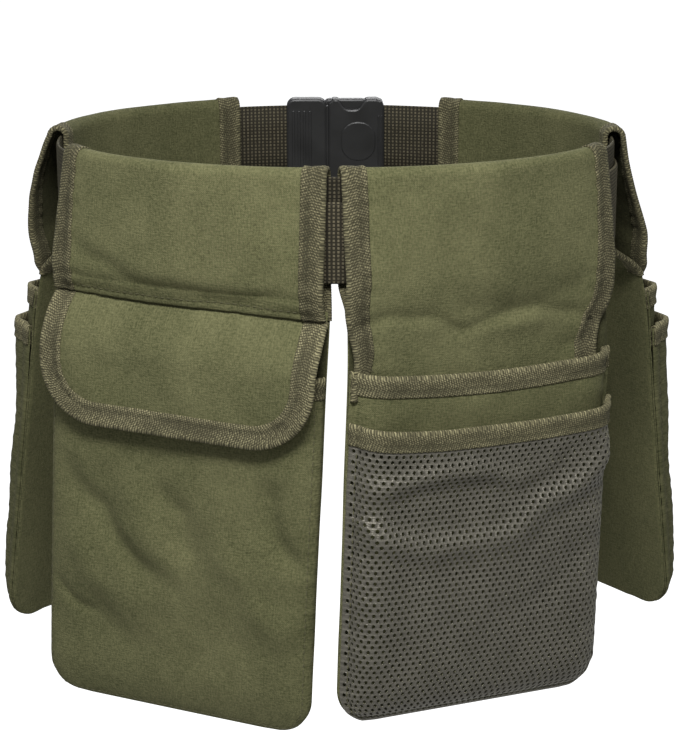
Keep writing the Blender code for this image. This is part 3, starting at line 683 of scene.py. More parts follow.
def tape_finish(name, shade=1.0):
    """Ribbed binding tape: dark ground with light yarns, painted highlight along its two raised edges and painted shade
    down the groove by its stitches.
    """
    pitch = sizes().rib_pitch
    made = Finish(name, 0.85, sheen=0.08, specular=0.15)
    vector, across, along = made.uv()
    off = abs(across)
    worn = made.stretched(vector, (700, 700), 2.0, 0.6)
    patches = made.stretched(vector, (90, 45), 2.0)
    slant = abs(off - 0.0062) * 0.30 + worn * 0.00045
    ribs = made.ramp((along + slant).wave("COSINE", pitch), -0.80, 0.75)
    yarn = made.ramp(across.math("SINE", (across + worn * 0.0003) * (math.tau / 0.0014) + along * (math.pi / pitch)),
                     -0.9, 0.9)
    # Painted highlight: the tape is lighter along its raised inner edge and its fold.
    inner = made.ramp(off, 0.0098, 0.0110)
    fold = 1.0 - made.ramp(off, 0.0012, 0.0038)
    # Painted shade: darker down the groove near its stitches.
    middle = 1.0 - made.ramp(abs(off - 0.0082), 0.0004, 0.0016)
    edges = inner.math("MAXIMUM", inner, fold)
    tone = (0.12 + 0.88 * ribs) * (0.35 + 0.65 * yarn) * (0.36 + 0.36 * edges + 0.52 * patches) * (0.35 + 0.90 * worn)
    tone = tone * (1.0 - 0.35 * middle) + 0.08
    made.coloured(tone, rgba(colours().tape_dark, shade), rgba(colours().tape_light, shade))
    made.bumped(ribs * 0.5 + yarn * 0.5 + worn * 0.4 - middle * 0.6, 0.0003, 0.8)
    return made.material


def webbing_finish(name, shade=1.0):
    """Heavy ribbed webbing with beads of yarn on its ribs."""
    made = Finish(name, 0.80, sheen=0.05, specular=0.15)
    vector, across, along = made.uv()
    ribs = made.ramp(along.wave("COSINE", sizes().bead_pitch), -0.45, 0.55)
    beads = made.ramp(across.wave("COSINE", BEAD_HEIGHT), -0.95, 0.25)
    worn = made.stretched(vector, (500, 500), 2.0, 0.6)
    tone = ribs * beads * (0.45 + 0.75 * worn) + 0.10
    made.coloured(tone, rgba(colours().webbing_dark, shade), rgba(colours().webbing_light, shade))
    made.bumped(ribs * beads + worn * 0.3, 0.0003, 0.7)
    return made.material


def netting_finish(name):
    """Knitted netting with a slight sheen."""
    made = Finish(name, 0.42, sheen=0.30, sheen_roughness=0.35, specular=1.0)
    made.set(made.shader, {"Specular Tint": (1.0, 0.94, 0.80, 1.0)})
    vector, _, along = made.uv()
    yarn = made.stretched(vector, (900, 1700), 1.0)
    patches = made.stretched(vector, (60, 45), 2.0)
    start = PocketPanel(MESH_POUCH, 1).mouth + NET_START
    lines = made.ramp((along - start).wave("COSINE", sizes().net_rows), -0.4, 0.9)
    tone = 0.15 + 0.30 * yarn + 0.20 * patches + 0.38 * lines
    made.coloured(tone, rgba(colours().netting, 0.42), rgba(colours().netting, 1.30))
    made.bumped(lines * 0.7 + yarn * 0.5, 0.0003, 0.6)
    return made.material


def thread_finish(name):
    """Twisted sewing thread."""
    made = Finish(name, 0.7, sheen=0.1)
    coordinates = made.add("ShaderNodeTexCoord", None, None, output=3)
    fuzz = made.add("ShaderNodeTexNoise", None, {"Vector": coordinates, "Scale": 900.0, "Detail": 1.0})
    made.coloured(fuzz, rgba(colours().thread, 0.6), rgba(colours().thread, 1.5))
    return made.material


def clasp_finish(name):
    """Moulded plastic with a fine sandblasted texture."""
    made = Finish(name, 0.42, specular=0.45)
    coordinates = made.add("ShaderNodeTexCoord", None, None, output=3)
    grain = made.add("ShaderNodeTexNoise", None, {"Vector": coordinates, "Scale": 2600.0, "Detail": 2.0})
    rubbed = made.add("ShaderNodeTexNoise", None, {"Vector": coordinates, "Scale": 60.0, "Detail": 3.0})
    made.coloured(rubbed, rgba(colours().clasp), rgba(colours().clasp, 1.8))
    made.set(made.shader, {"Roughness": 0.34 + 0.22 * rubbed})
    made.bumped(grain, 0.00008, 0.6)
    return made.material


def piece(name, points, faces, coordinates, material, nodes=()):
    """A closed mesh piece that rides on the body, faces outwards and stands for the named nodes."""
    triangles = np.array([(f[0], f[k], f[k + 1]) for f in faces for k in range(1, len(f) - 1)])
    if np.linalg.det(points[triangles]).sum() < 0:
        faces = [tuple(reversed(face)) for face in faces]
    mesh = bpy.data.meshes.new(name)
    mesh.from_pydata(points.tolist(), [], faces)
    corners = np.zeros(len(mesh.loops), dtype=np.int32)
    mesh.loops.foreach_get("vertex_index", corners)
    layer = mesh.uv_layers.new(name="cloth")
    layer.data.foreach_set("uv", coordinates[corners].astype(np.float32).ravel())
    mesh.shade_smooth()
    mesh.materials.append(material)
    made = bpy.data.objects.new(name, mesh)
    bpy.context.scene.collection.objects.link(made)
    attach(made, BODY)
    if nodes:
        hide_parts(*nodes)
    return made


def rim_of(rows, cols):
    """Indices round the edge of a grid of points."""
    return [*range(cols), *(r * cols + cols - 1 for r in range(1, rows)),
            *((rows - 1) * cols + c for c in range(cols - 2, -1, -1)), *(r * cols for r in range(rows - 2, 0, -1))]


def rim_inside(rows, cols):
    """For each point of the rim, the index of the grid point one step in from it."""
    inner_col = np.clip(np.arange(cols), 1, cols - 2)
    inner_row = np.clip(np.arange(rows), 1, rows - 2)
    return (inner_row[:, None] * cols + inner_col[None, :]).ravel()[rim_of(rows, cols)]


def cloth_sheet(name, panel, across, down, thickness, material, nodes, inner=None):
    """A cloth panel over a grid of spots, as a closed sheet with rounded edges and, when given, a darker inner side:
    painted shade.
    """
    mid = panel.at(across, down)
    rows, cols = across.shape
    normals = unit(np.cross(np.gradient(mid, axis=0), np.gradient(mid, axis=1)))
    flat, facing = mid.reshape(-1, 3), normals.reshape(-1, 3)
    rim = rim_of(rows, cols)
    outwards = unit(flat[rim] - flat[rim_inside(rows, cols)])
    edge = flat[rim] + outwards * thickness * 0.35
    points = np.concatenate([flat + facing * thickness / 2, flat - facing * thickness / 2, edge])
    spots = np.stack([across, down], -1).reshape(-1, 2)
    coordinates = np.concatenate([spots, spots, spots[rim]])
    far, last = rows * cols, 2 * rows * cols
    r, c = np.meshgrid(np.arange(rows - 1), np.arange(cols - 1), indexing="ij")
    near = (r * cols + c).ravel()
    quads = np.stack([near, near + 1, near + cols + 1, near + cols], -1)
    back = quads[:, ::-1] + far
    ring = np.array(rim)
    after = np.roll(ring, -1)
    mark = last + np.arange(len(rim))
    mark_after = np.roll(mark, -1)
    front_rim = np.stack([after, ring, mark, mark_after], -1)
    back_rim = np.stack([ring + far, after + far, mark_after, mark], -1)
    faces = np.concatenate([quads, back, front_rim, back_rim]).tolist()
    made = piece(name, points, faces, coordinates, material, nodes)
    if inner:
        made.data.materials.append(inner)
        spot = (rows // 2, cols // 2)
        front_is_outer = np.dot(normals[spot], panel.normal(across, down)[spot]) > 0
        sides = np.zeros(len(faces), dtype=np.int32)
        sides[len(quads): 2 * len(quads)] = 1 if front_is_outer else 0
        sides[: len(quads)] = 0 if front_is_outer else 1
        made.data.polygons.foreach_set("material_index", sides)
    return made


def even(start, end, spacing):
    """Evenly spaced values from start to end."""
    return np.linspace(start, end, max(2, round(abs(end - start) / spacing) + 1))


def tube_faces(rows, around):
    """The faces of a tube of rows of points, with both its ends closed."""
    s, k = np.meshgrid(np.arange(rows - 1), np.arange(around), indexing="ij")
    a, b = (s * around + k).ravel(), (s * around + (k + 1) % around).ravel()
    sides = np.stack([a, a + around, b + around, b], -1).tolist()
    return [*sides, list(range(around)), list(range((rows - 1) * around, rows * around))[::-1]]


def strip_coordinates(across, rows, pitch):
    """A strip's own coordinates: across it, and along it by half a pitch a row."""
    along = np.arange(rows) * pitch / 2
    return np.stack(np.broadcast_arrays(np.asarray(across)[None, :], along[:, None]), -1).reshape(-1, 2)


def tapered_grid(panel, runs, spacing):
    """Spots in even columns between a panel's two edges."""
    shares = np.linspace(-1, 1, round(panel.pouch.width / spacing) + 1)
    return shares[None, :] * panel.half(runs)[:, None], np.repeat(runs[:, None], len(shares), axis=1)


def tape(name, panel, edge, inward, thickness, material, pitch, height, nodes, share=1.0):
    """Ribbed tape folded over a panel's edge; edge and inward are rows of spots and directions on the cloth."""
    rows = len(edge)
    alternate = np.where(np.arange(rows) % 2 == 0, 0.5, -0.5) * height
    reach = np.broadcast_to(np.asarray(share, float), rows)[:, None]
    skin = thickness / 2 + 0.00015
    # How far into the cloth each row of points lies, and how thick the tape is there
    legs = np.array([1.0, 0.93, 0.76, 0.64, 0.42, 0.20, 0.06]) * TAPE_WIDTH
    swell = np.array([0.35, 0.95, 0.75, 0.55, 0.95, 1.1, 1.1]) * TAPE_THICKNESS
    outer, spots = [], []

    def leg(distance, off):
        spot = edge + inward * distance * reach
        return panel.at(spot[:, 0], spot[:, 1], off)

    def centre_and_frame():
        here = panel.at(edge[:, 0], edge[:, 1], 0.0)
        inner = panel.at(edge[:, 0] + inward[:, 0] * 0.002, edge[:, 1] + inward[:, 1] * 0.002, 0.0)
        return here, unit(here - inner), panel.normal(edge[:, 0], edge[:, 1])

    for distance, stack in zip(legs, swell):
        outer.append(leg(distance, skin + stack + alternate))
        spots.append(-distance)
    here, outwards, facing = centre_and_frame()
    turn = skin + TAPE_THICKNESS * 1.1
    for angle in np.radians((40, 90, 140)):
        radius = (turn + alternate)[:, None]
        outer.append(here + outwards * radius * 0.9 * math.sin(angle) + facing * radius * math.cos(angle))
        spots.append(0.0006 * (angle - math.pi / 2))
    for distance, stack in zip(legs[::-1], swell[::-1]):
        outer.append(leg(distance, -(skin + stack + alternate)))
        spots.append(distance)
    inner = [leg(TAPE_WIDTH * 0.99, np.full(rows, -skin)), here - facing * skin + outwards * 0.0002,
             here + facing * skin + outwards * 0.0002, leg(TAPE_WIDTH * 0.99, np.full(rows, skin))]
    spots += [TAPE_WIDTH, 0.0, 0.0, -TAPE_WIDTH]
    loop = np.stack([*outer, *inner], axis=1)
    return piece(name, loop.reshape(-1, 3), tube_faces(rows, loop.shape[1]), strip_coordinates(spots, rows, pitch),
                 material, nodes)


def resampled(points, spacing, panel):
    """A path on the cloth with points at an even distance over the surface, and an odd number of them."""
    points = np.asarray(points, float)
    fine = np.concatenate([np.linspace(points[i], points[i + 1], 24, endpoint=False) for i in range(len(points) - 1)])
    fine = np.concatenate([fine, points[-1:]])
    line = panel.at(fine[:, 0], fine[:, 1])
    run = run_along(line)
    count = 2 * round(run[-1] / spacing / 2) + 1
    at = np.linspace(0, run[-1], count)
    return np.stack([np.interp(at, run, fine[:, k]) for k in range(2)], -1)


def stitch_row(panel, path, off, length, gap=0.0013):
    """World ends and normals of the stitches along a path on a panel."""
    spots = resampled(path, 0.0005, panel)
    line = panel.at(spots[:, 0], spots[:, 1], off)
    facing = panel.normal(spots[:, 0], spots[:, 1]) * (1 if off > 0 else -1)
    run = run_along(line)
    starts = np.arange(gap, run[-1] - length, length + gap)

    def along(at, values):
        return np.stack([np.interp(at, run, values[:, k]) for k in range(3)], -1)

    return along(starts, line), along(starts + length, line), unit(along(starts + length / 2, facing))


def stitch_piece(name, rows, material, thickness=0.00062):
    """One piece of all the given rows of stitches; each stitch is a small rounded thread that dips at its ends."""
    starts, ends, normals = (np.concatenate(part) for part in zip(*rows))
    along = unit(ends - starts)
    aside = np.cross(along, normals)
    points, shares = [], (0.0, 0.16, 0.5, 0.84, 1.0)
    for share in shares:
        swell = math.sin(math.pi * min(max(share, 0.06), 0.94)) ** 0.5
        middle = starts + (ends - starts) * share + normals * thickness * (0.55 * swell - 0.35)
        for angle in np.radians((0, 60, 120, 180, 240, 300)):
            points.append(middle + (aside * math.cos(angle) + normals * math.sin(angle) * 0.8) * thickness / 2 * swell)
    ring = np.stack(points, axis=1)
    count, each = ring.shape[:2]
    pattern = []
    for s in range(len(shares) - 1):
        for k in range(6):
            a, b = 6 * s + k, 6 * s + (k + 1) % 6
            pattern.append((a, b, b + 6, a + 6))
    for cap in ((5, 4, 3, 2), (5, 2, 1, 0)):
        pattern.append(cap)
        pattern.append(tuple(reversed([each - 6 + i for i in cap])))
    faces = (np.array(pattern)[None] + each * np.arange(count)[:, None, None]).reshape(-1, 4).tolist()
    flat = ring.reshape(-1, 3)
    return piece(name, flat, faces, flat[:, :2], material)


def finish(name):
    """The material of that name, made on first use."""
    if name in bpy.data.materials:
        return bpy.data.materials[name]
    makers = {
        "olive_canvas": (canvas_finish,),
        # The side pouches' canvas is the same canvas darkened to 0.72: painted shade on their faces turned away from
        # the light.
        "side_canvas": (canvas_finish, 0.72),
        # The canvas's inner side is the same canvas darkened to 0.38: painted shade for the insides of the sleeves and
        # pockets.
        "canvas_inner_side": (canvas_finish, 0.38),
        "binding_tape": (tape_finish, 1.02),
        # The sleeves' tape is the binding tape darkened to 0.76: painted shade.
        "sleeve_tape": (tape_finish, 0.76),
        # The belt's own webbing is the tail's webbing darkened to 0.62: painted shade where it lies deep behind the
        # tail.
        "belt_webbing": (webbing_finish, 0.62),
        "tail_webbing": (webbing_finish,),
        "pouch_netting": (netting_finish,),
        "sewing_thread": (thread_finish,),
        "clasp_plastic": (clasp_finish,),
    }
    maker, *shade = makers[name]
    return maker(name, *shade)


def mouth_tape_path(panel, spacing):
    """The path of the tape along a pocket's mouth, and its directions into the cloth."""
    half = panel.pouch.width / 2
    edge = resampled([(x, panel.mouth) for x in np.linspace(-half, half, 41)], spacing, panel)
    return edge, np.tile([0.0, 1.0], (len(edge), 1))


def sleeve_tape_path(panel, side, spacing):
    """The path of the tape up a sleeve's front edge, over the fold and down behind to the seam."""
    runs = np.linspace(0, panel.seam_behind, 161)
    edge = resampled([(side * float(panel.half(np.array(run))), run) for run in runs], spacing, panel)
    return edge, np.tile([-float(side), 0.0], (len(edge), 1))


def flap_tape_path(panel, spacing):
    """The path of the tape down the flap's one side, round its corners and up the other."""
    straight = [(float(panel.half(np.array(d))), d) for d in np.linspace(panel.tape_start, panel.corner_start, 24)]
    centre = straight[-1][0] - FLAP_CORNER
    corner = [(centre + FLAP_CORNER * math.cos(a), panel.corner_start + FLAP_CORNER * math.sin(a))
              for a in np.linspace(0, math.pi / 2, 16)[1:]]
    right = straight + corner
    path = right + [(x, panel.bottom) for x in np.linspace(centre, -centre, 24)[1:-1]]
    path += [(-x, d) for x, d in reversed(right)]
    edge = resampled(path, spacing, panel)
    tangent = unit(np.gradient(edge, axis=0))
    return edge, np.stack([-tangent[:, 1], tangent[:, 0]], -1)


class TOOLBELT_OT_webbing(Operator):
    """Weave the waist belt and its second, lower layer"""

    bl_idname = "toolbelt.webbing"
    bl_label = "Webbing"

    def band(self, name, material, start, end, top, inner_out):
        """A band of webbing with beads of yarn on its ribs."""
        pitch = sizes().bead_pitch
        rows = 2 * round((end - start) / pitch) + 1
        run = np.linspace(start, end, rows)
        heights = np.linspace(0, BELT_WIDTH, 2 * round(BELT_WIDTH / BEAD_HEIGHT) + 1)
        ribs = (np.arange(rows) % 2 == 0)[:, None]
        beads = (np.arange(len(heights)) % 2 == 0)[None, :]
        relief = 0.00022 * ribs * (0.45 + 0.55 * beads)
        relief[:, [0, -1]] = -0.0003
        point, _, normal = waist_at(run)
        wave = 0.00035 * np.sin(run * 95) * smooth(np.minimum(run - start, end - run) / 0.02)

        def face(out):
            plan = point[:, None] + normal[:, None] * (out + wave[:, None])[..., None]
            level = np.broadcast_to(top - heights[None, :], plan.shape[:2])
            return np.concatenate([plan, level[..., None]], -1)

        outer = face(inner_out + BELT_THICKNESS * 0.88 + relief)
        few = np.array([len(heights) - 1, len(heights) * 2 // 3, len(heights) // 3, 0])
        inner = face(inner_out + np.full((rows, len(heights)), 0.0001) + 0.00018 * ribs)[:, few]
        loop = np.concatenate([outer, inner], axis=1)
        coordinates = strip_coordinates(np.concatenate([heights, heights[few]]), rows, pitch)
        return piece(name, loop.reshape(-1, 3), tube_faces(rows, loop.shape[1]), coordinates, finish(material),
                     (name.replace("dressed_", ""),))

    def execute(self, context):
        half = HALF_WAIST - (CLASP_LENGTH / 2 - CLASP_GRIP)
        # The belt takes the darker copy of the webbing: painted shade where it lies behind its tail.
        self.band("dressed_belt_webbing", "belt_webbing", -half, half, BELT_WIDTH / 2, 0.0)
        start = -(FLAP_POUCH.start + TAIL_TUCK * FLAP_POUCH.width)
        end = HALF_WAIST - CLASP_LENGTH / 2 - TAIL_SHORT
        self.band("dressed_belt_tail", "tail_webbing", start, end, BELT_WIDTH / 2 - TAIL_DROP,
                  BELT_THICKNESS + SEWN_GAP)
        return {"FINISHED"}


class TOOLBELT_OT_clasp(Operator):
    """Mould the clasp: a housing with side windows, and a fork whose two prongs show in them"""

    bl_idname = "toolbelt.clasp"
    bl_label = "Clasp"

    def plate(self, outline, deep, bevel):
        """Points and faces of a flat part with bevelled edges; its outline runs anticlockwise in x and z."""
        outline = np.asarray(outline)
        run = unit(np.roll(outline, -1, axis=0) - np.roll(outline, 1, axis=0))
        inward = np.stack([-run[:, 1], run[:, 0]], -1)
        rings = []
        for level, inset in ((-deep, bevel), (-deep + bevel * 0.3, bevel * 0.3), (-deep + bevel, 0.0),
                             (deep - bevel, 0.0), (deep - bevel * 0.3, bevel * 0.3), (deep, bevel)):
            flat = outline + inward * inset
            rings.append(np.stack([flat[:, 0], np.full(len(flat), level), flat[:, 1]], -1))
        count = len(outline)
        faces = [tuple(range(count))[::-1], tuple(range(5 * count, 6 * count))]
        for ring in range(5):
            for k in range(count):
                a, b = ring * count + k, ring * count + (k + 1) % count
                faces.append((a, b, b + count, a + count))
        return np.concatenate(rings), faces

    def block(self, left, right, low, high, radius, deep, bevel):
        """A flat part with rounded corners."""
        corners = ((right - radius, low + radius, -90), (right - radius, high - radius, 0),
                   (left + radius, high - radius, 90), (left + radius, low + radius, 180))
        turns = [(x, z, math.radians(start + step)) for x, z, start in corners for step in (0, 18, 36, 54, 72, 90)]
        outline = [(x + radius * math.cos(turn), z + radius * math.sin(turn)) for x, z, turn in turns]
        return self.plate(outline, deep, bevel)

    def housing(self, left, right, half, notch):
        """The housing's outline, drawn in at both windows."""
        top = []
        for x in np.linspace(right - 0.005, left + 0.003, 26):
            dip = notch * math.exp(-(((x - 0.0105) / 0.0068) ** 4))
            top.append((x, half - dip))
        ends = [(right - 0.0015, half - 0.0015), (right, half - 0.006)]
        back = [(left, half - 0.003)]
        upper = ends[::-1] + top + back
        return upper + [(x, -z) for x, z in upper[::-1]]

    def execute(self, context):
        back = float(waist_at(HALF_WAIST)[0][1]) + BELT_THICKNESS / 2
        tall = BELT_WIDTH / 2 + 0.0045
        end = CLASP_LENGTH / 2
        # The housing, the fork's head and the neck between them
        parts = [self.plate(self.housing(-0.0045, end, tall, 0.0066), 0.0055, 0.0014),
                 self.block(-end, -0.0055, -tall, tall, 0.0055, 0.0050, 0.0014),
                 self.block(-0.0065, -0.0035, -tall + 0.004, tall - 0.004, 0.0012, 0.0040, 0.0008)]
        # The two prongs, the ridges to grip on the head, and the round and straight relief on the housing
        for low, high in ((0.0004 - tall, -0.0170), (0.0170, tall - 0.0004)):
            parts.append(self.block(-0.0075, 0.0205, low, high, 0.0040, 0.0034, 0.0012))
        for x in (-0.0275, -0.0240, -0.0205, -0.0170):
            parts.append(self.block(x, x + 0.0018, -0.0195, 0.0195, 0.0008, 0.0056, 0.0005))
        parts.append(self.block(0.0035, 0.0255, -0.0125, 0.0125, 0.0100, 0.0061, 0.0008))
        for x in (0.0268, 0.0288):
            parts.append(self.block(x, x + 0.0010, -0.0165, 0.0165, 0.0004, 0.0060, 0.0004))
        points, faces, first = [], [], 0
        for part, sides in parts:
            points.append(part)
            faces += [tuple(first + v for v in face) for face in sides]
            first += len(part)
        points = np.concatenate(points)
        made = piece("dressed_clasp", points + np.array([0.0, back, 0.0]), faces, points[:, [0, 2]],
                     finish("clasp_plastic"), ("back_buckle",))
        made.data.shade_flat()
        return {"FINISHED"}


class TOOLBELT_OT_canvas(Operator):
    """Cut the canvas: each pouch's back and sleeve, and its canvas pockets"""

    bl_idname = "toolbelt.canvas"
    bl_label = "Canvas"

    def corner_rows(self, pouch, spacing, start):
        """Rows down to the bottom, closer together round the corners."""
        straight = even(start, pouch.length - pouch.corner, spacing)[:-1]
        turns = np.linspace(0, math.pi / 2, 12)
        return np.concatenate([straight, pouch.length - pouch.corner * (1 - np.sin(turns))])

    def canvas_of(self, pouch):
        """The name of a pouch's canvas: the side pouches take a darker copy of it, painted shade."""
        return "side_canvas" if pouch.name.startswith("side") else "olive_canvas"

    def back(self, pouch):
        """The sheet that runs up behind the belt, over it and down in front."""
        panel = Sleeve(pouch)
        spacing = sizes().grid
        close = even(0, HEM_ROWS, 0.00075 if pouch is FLAP_POUCH else 0.0019)
        turn_end = panel.rise + panel.arc
        arc = np.linspace(panel.rise, turn_end, 13)[:-1]
        behind = self.corner_rows(pouch, spacing, FOLD_RADIUS) - FOLD_RADIUS + turn_end
        runs = np.concatenate([close, even(HEM_ROWS, panel.rise, spacing)[1:-1], arc, behind])
        across, down = tapered_grid(panel, runs, spacing)
        made = cloth_sheet(f"dressed_{pouch.name}_back", panel, across, down, CANVAS, finish(self.canvas_of(pouch)),
                           (f"{pouch.name}_back",), finish("canvas_inner_side"))

    def pocket(self, pouch, index):
        """One pocket's cloth."""
        panel = PocketPanel(pouch, index)
        spacing = sizes().grid
        columns, width = panel.columns(spacing)
        runs = self.corner_rows(pouch, spacing, panel.mouth)
        down = np.repeat(runs[:, None], len(columns), axis=1)
        across = np.repeat(columns[None, :], len(runs), axis=0)
        node = f"{pouch.name}_{panel.pocket.name}"
        made = cloth_sheet(f"dressed_{node}", panel, across, down, CANVAS, finish(self.canvas_of(pouch)),
                           (node,), finish("canvas_inner_side"))
        pouch.length - panel.mouth

    def execute(self, context):
        for pouch in POUCHES:
            self.back(pouch)
            for index, pocket in enumerate(pouch.pockets):
                if pocket.slot == "canvas":
                    self.pocket(pouch, index)
        return {"FINISHED"}


class TOOLBELT_OT_flap(Operator):
    """Cut the flap and bind it"""

    bl_idname = "toolbelt.flap"
    bl_label = "Flap"

    def execute(self, context):
        panel = FlapPanel()
        spacing = sizes().grid
        straight = even(panel.top, panel.corner_start, spacing)[:-1]
        turns = np.linspace(0, math.pi / 2, 18)
        runs = np.concatenate([straight, panel.corner_start + FLAP_CORNER * np.sin(turns)])
        across, down = tapered_grid(panel, runs, spacing)
        made = cloth_sheet("dressed_flap", panel, across, down, CANVAS, finish("olive_canvas"),
                           ("flap_pouch_flap",))
        cloth = sizes()
        edge, inward = flap_tape_path(panel, cloth.rib_pitch / 2)
        binding = tape("dressed_flap_binding", panel, edge, inward, CANVAS, finish("binding_tape"), cloth.rib_pitch,
                       cloth.rib_height, ("flap_pouch_flap_binding",))
        panel.bottom - panel.top
        return {"FINISHED"}


class TOOLBELT_OT_bindings(Operator):
    """Fold ribbed tape over the sleeves' edges and the pockets' mouths"""

    bl_idname = "toolbelt.bindings"
    bl_label = "Bindings"

    def execute(self, context):
        cloth = sizes()
        for pouch in POUCHES:
            sleeve = Sleeve(pouch)
            for word, side in (("front", -1), ("rear", 1)):
                edge, inward = sleeve_tape_path(sleeve, side, cloth.rib_pitch / 2)
                node = f"{pouch.name}_sleeve_binding_{word}"
                twisted = pouch is MESH_POUCH and side < 0
                share = 0.5 + 0.5 * smooth(edge[:, 1] / TWIST) if twisted else 1.0
                # The sleeves' tape is a darker copy of the binding tape: painted shade.
                tape(f"dressed_{node}", sleeve, edge, inward, CANVAS, finish("sleeve_tape"), cloth.rib_pitch,
                     cloth.rib_height, (node,), share)
            for index, pocket in enumerate(pouch.pockets):
                panel = PocketPanel(pouch, index)
                edge, inward = mouth_tape_path(panel, cloth.rib_pitch / 2)
                node = f"{pouch.name}_{pocket.name}_binding"
                tape(f"dressed_{node}", panel, edge, inward, pocket.thickness, finish("binding_tape"),
                     cloth.rib_pitch, cloth.rib_height, (node,), MOUTH_REACH)
        return {"FINISHED"}


class TOOLBELT_OT_netting(Operator):
    """Knit the netting of the mesh pocket, with its holes cut through"""

    bl_idname = "toolbelt.netting"
    bl_label = "Netting"

    def execute(self, context):
        pouch = MESH_POUCH
        panel = PocketPanel(pouch, 1)
        cloth = sizes()
        fine, width = panel.columns(0.0005)
        wide = round((width - 2 * NET_EDGE) / cloth.net_pitch)
        tall = round((pouch.length - pouch.corner - panel.mouth - NET_START) / cloth.net_rows)
        rows = tall + round((pouch.corner - NET_EDGE) / cloth.net_rows)
        run = np.linspace(0, width, len(fine))
        spots, index, quads, holes = [], {}, [], []

        def vertex(i, j, thick=NET_BORDER):
            """The point at a place in half pitches across and half rows down, with half its thickness."""
            key = (round(i, 4), round(j, 4))
            if key not in index:
                index[key] = len(spots)
                reach = NET_EDGE + i * (width - 2 * NET_EDGE) / (2 * wide)
                spots.append((np.interp(reach, run, fine), panel.mouth + NET_START + j * cloth.net_rows / 2, thick))
            return index[key]

        def patch(left, right, upper, lower):
            """A face without a hole."""
            quads.append((vertex(left, upper), vertex(right, upper), vertex(right, lower), vertex(left, lower)))

        def ring(i, j):
            """The faces round the hole at a place."""
            around = ((-1, -1), (0, -1), (1, -1), (1, 0), (1, 1), (0, 1), (-1, 1), (-1, 0))
            outer = [vertex(i + a, j + b, CORD) for a, b in around]
            inner = []
            for a, b in around:
                reach = HOLE_CORNER if a and b else (1, 1)
                inner.append(vertex(i + HOLE_ACROSS * a * reach[0], j + HOLE_DOWN * b * reach[1], CORD_AT_HOLE))
            for k in range(8):
                n = (k + 1) % 8
                quads.append((outer[k], outer[n], inner[n], inner[k]))
                holes.append((inner[k], inner[n]))

        for row in range(rows):
            level = 2 * row + 1
            if row % 2 == 0:
                for col in range(wide):
                    ring(2 * col + 1, level)
            else:
                for left in (0, 2 * wide - 1):
                    patch(left, left + 1, level - 1, level)
                    patch(left, left + 1, level, level + 1)
                for col in range(wide - 1):
                    ring(2 * col + 2, level)
        depth = 2 * rows
        edge = NET_EDGE / ((width - 2 * NET_EDGE) / (2 * wide))
        for j in range(depth):
            for start, end in ((-edge, -edge / 2), (-edge / 2, 0)):
                patch(start, end, j, j + 1)
                patch(2 * wide - end, 2 * wide - start, j, j + 1)
        columns = [-edge, -edge / 2, *range(2 * wide + 1), 2 * wide + edge / 2, 2 * wide + edge]
        top = -NET_START / (cloth.net_rows / 2)
        bottom = (pouch.length - panel.mouth - NET_START) / (cloth.net_rows / 2)
        for levels in ((top, top / 2, 0), (depth, (depth + bottom) / 2, bottom)):
            for upper, lower in zip(levels, levels[1:]):
                for left, right in zip(columns, columns[1:]):
                    patch(left, right, upper, lower)
        spots = np.array(spots)
        spots[:, 1] = np.minimum(spots[:, 1], pouch.length)
        front = panel.at(spots[:, 0], spots[:, 1], spots[:, 2])
        back = panel.at(spots[:, 0], spots[:, 1], -spots[:, 2])
        far = len(spots)
        faces = []
        for quad in quads:
            faces += [quad, tuple(far + v for v in reversed(quad))]
        faces += [(b, a, far + a, far + b) for a, b in holes]
        edges = dict.fromkeys((quad[k], quad[(k + 1) % 4]) for quad in quads for k in range(4))
        rims = {(b, a) for a, b in holes} | set(holes)
        faces += [(b, a, far + a, far + b) for a, b in edges if (b, a) not in edges and (a, b) not in rims]
        made = piece("dressed_netting", np.concatenate([front, back]), faces,
                     np.concatenate([spots[:, :2], spots[:, :2]]), finish("pouch_netting"),
                     ("mesh_pouch_mesh_pocket",))
        pouch.length - panel.mouth
        return {"FINISHED"}


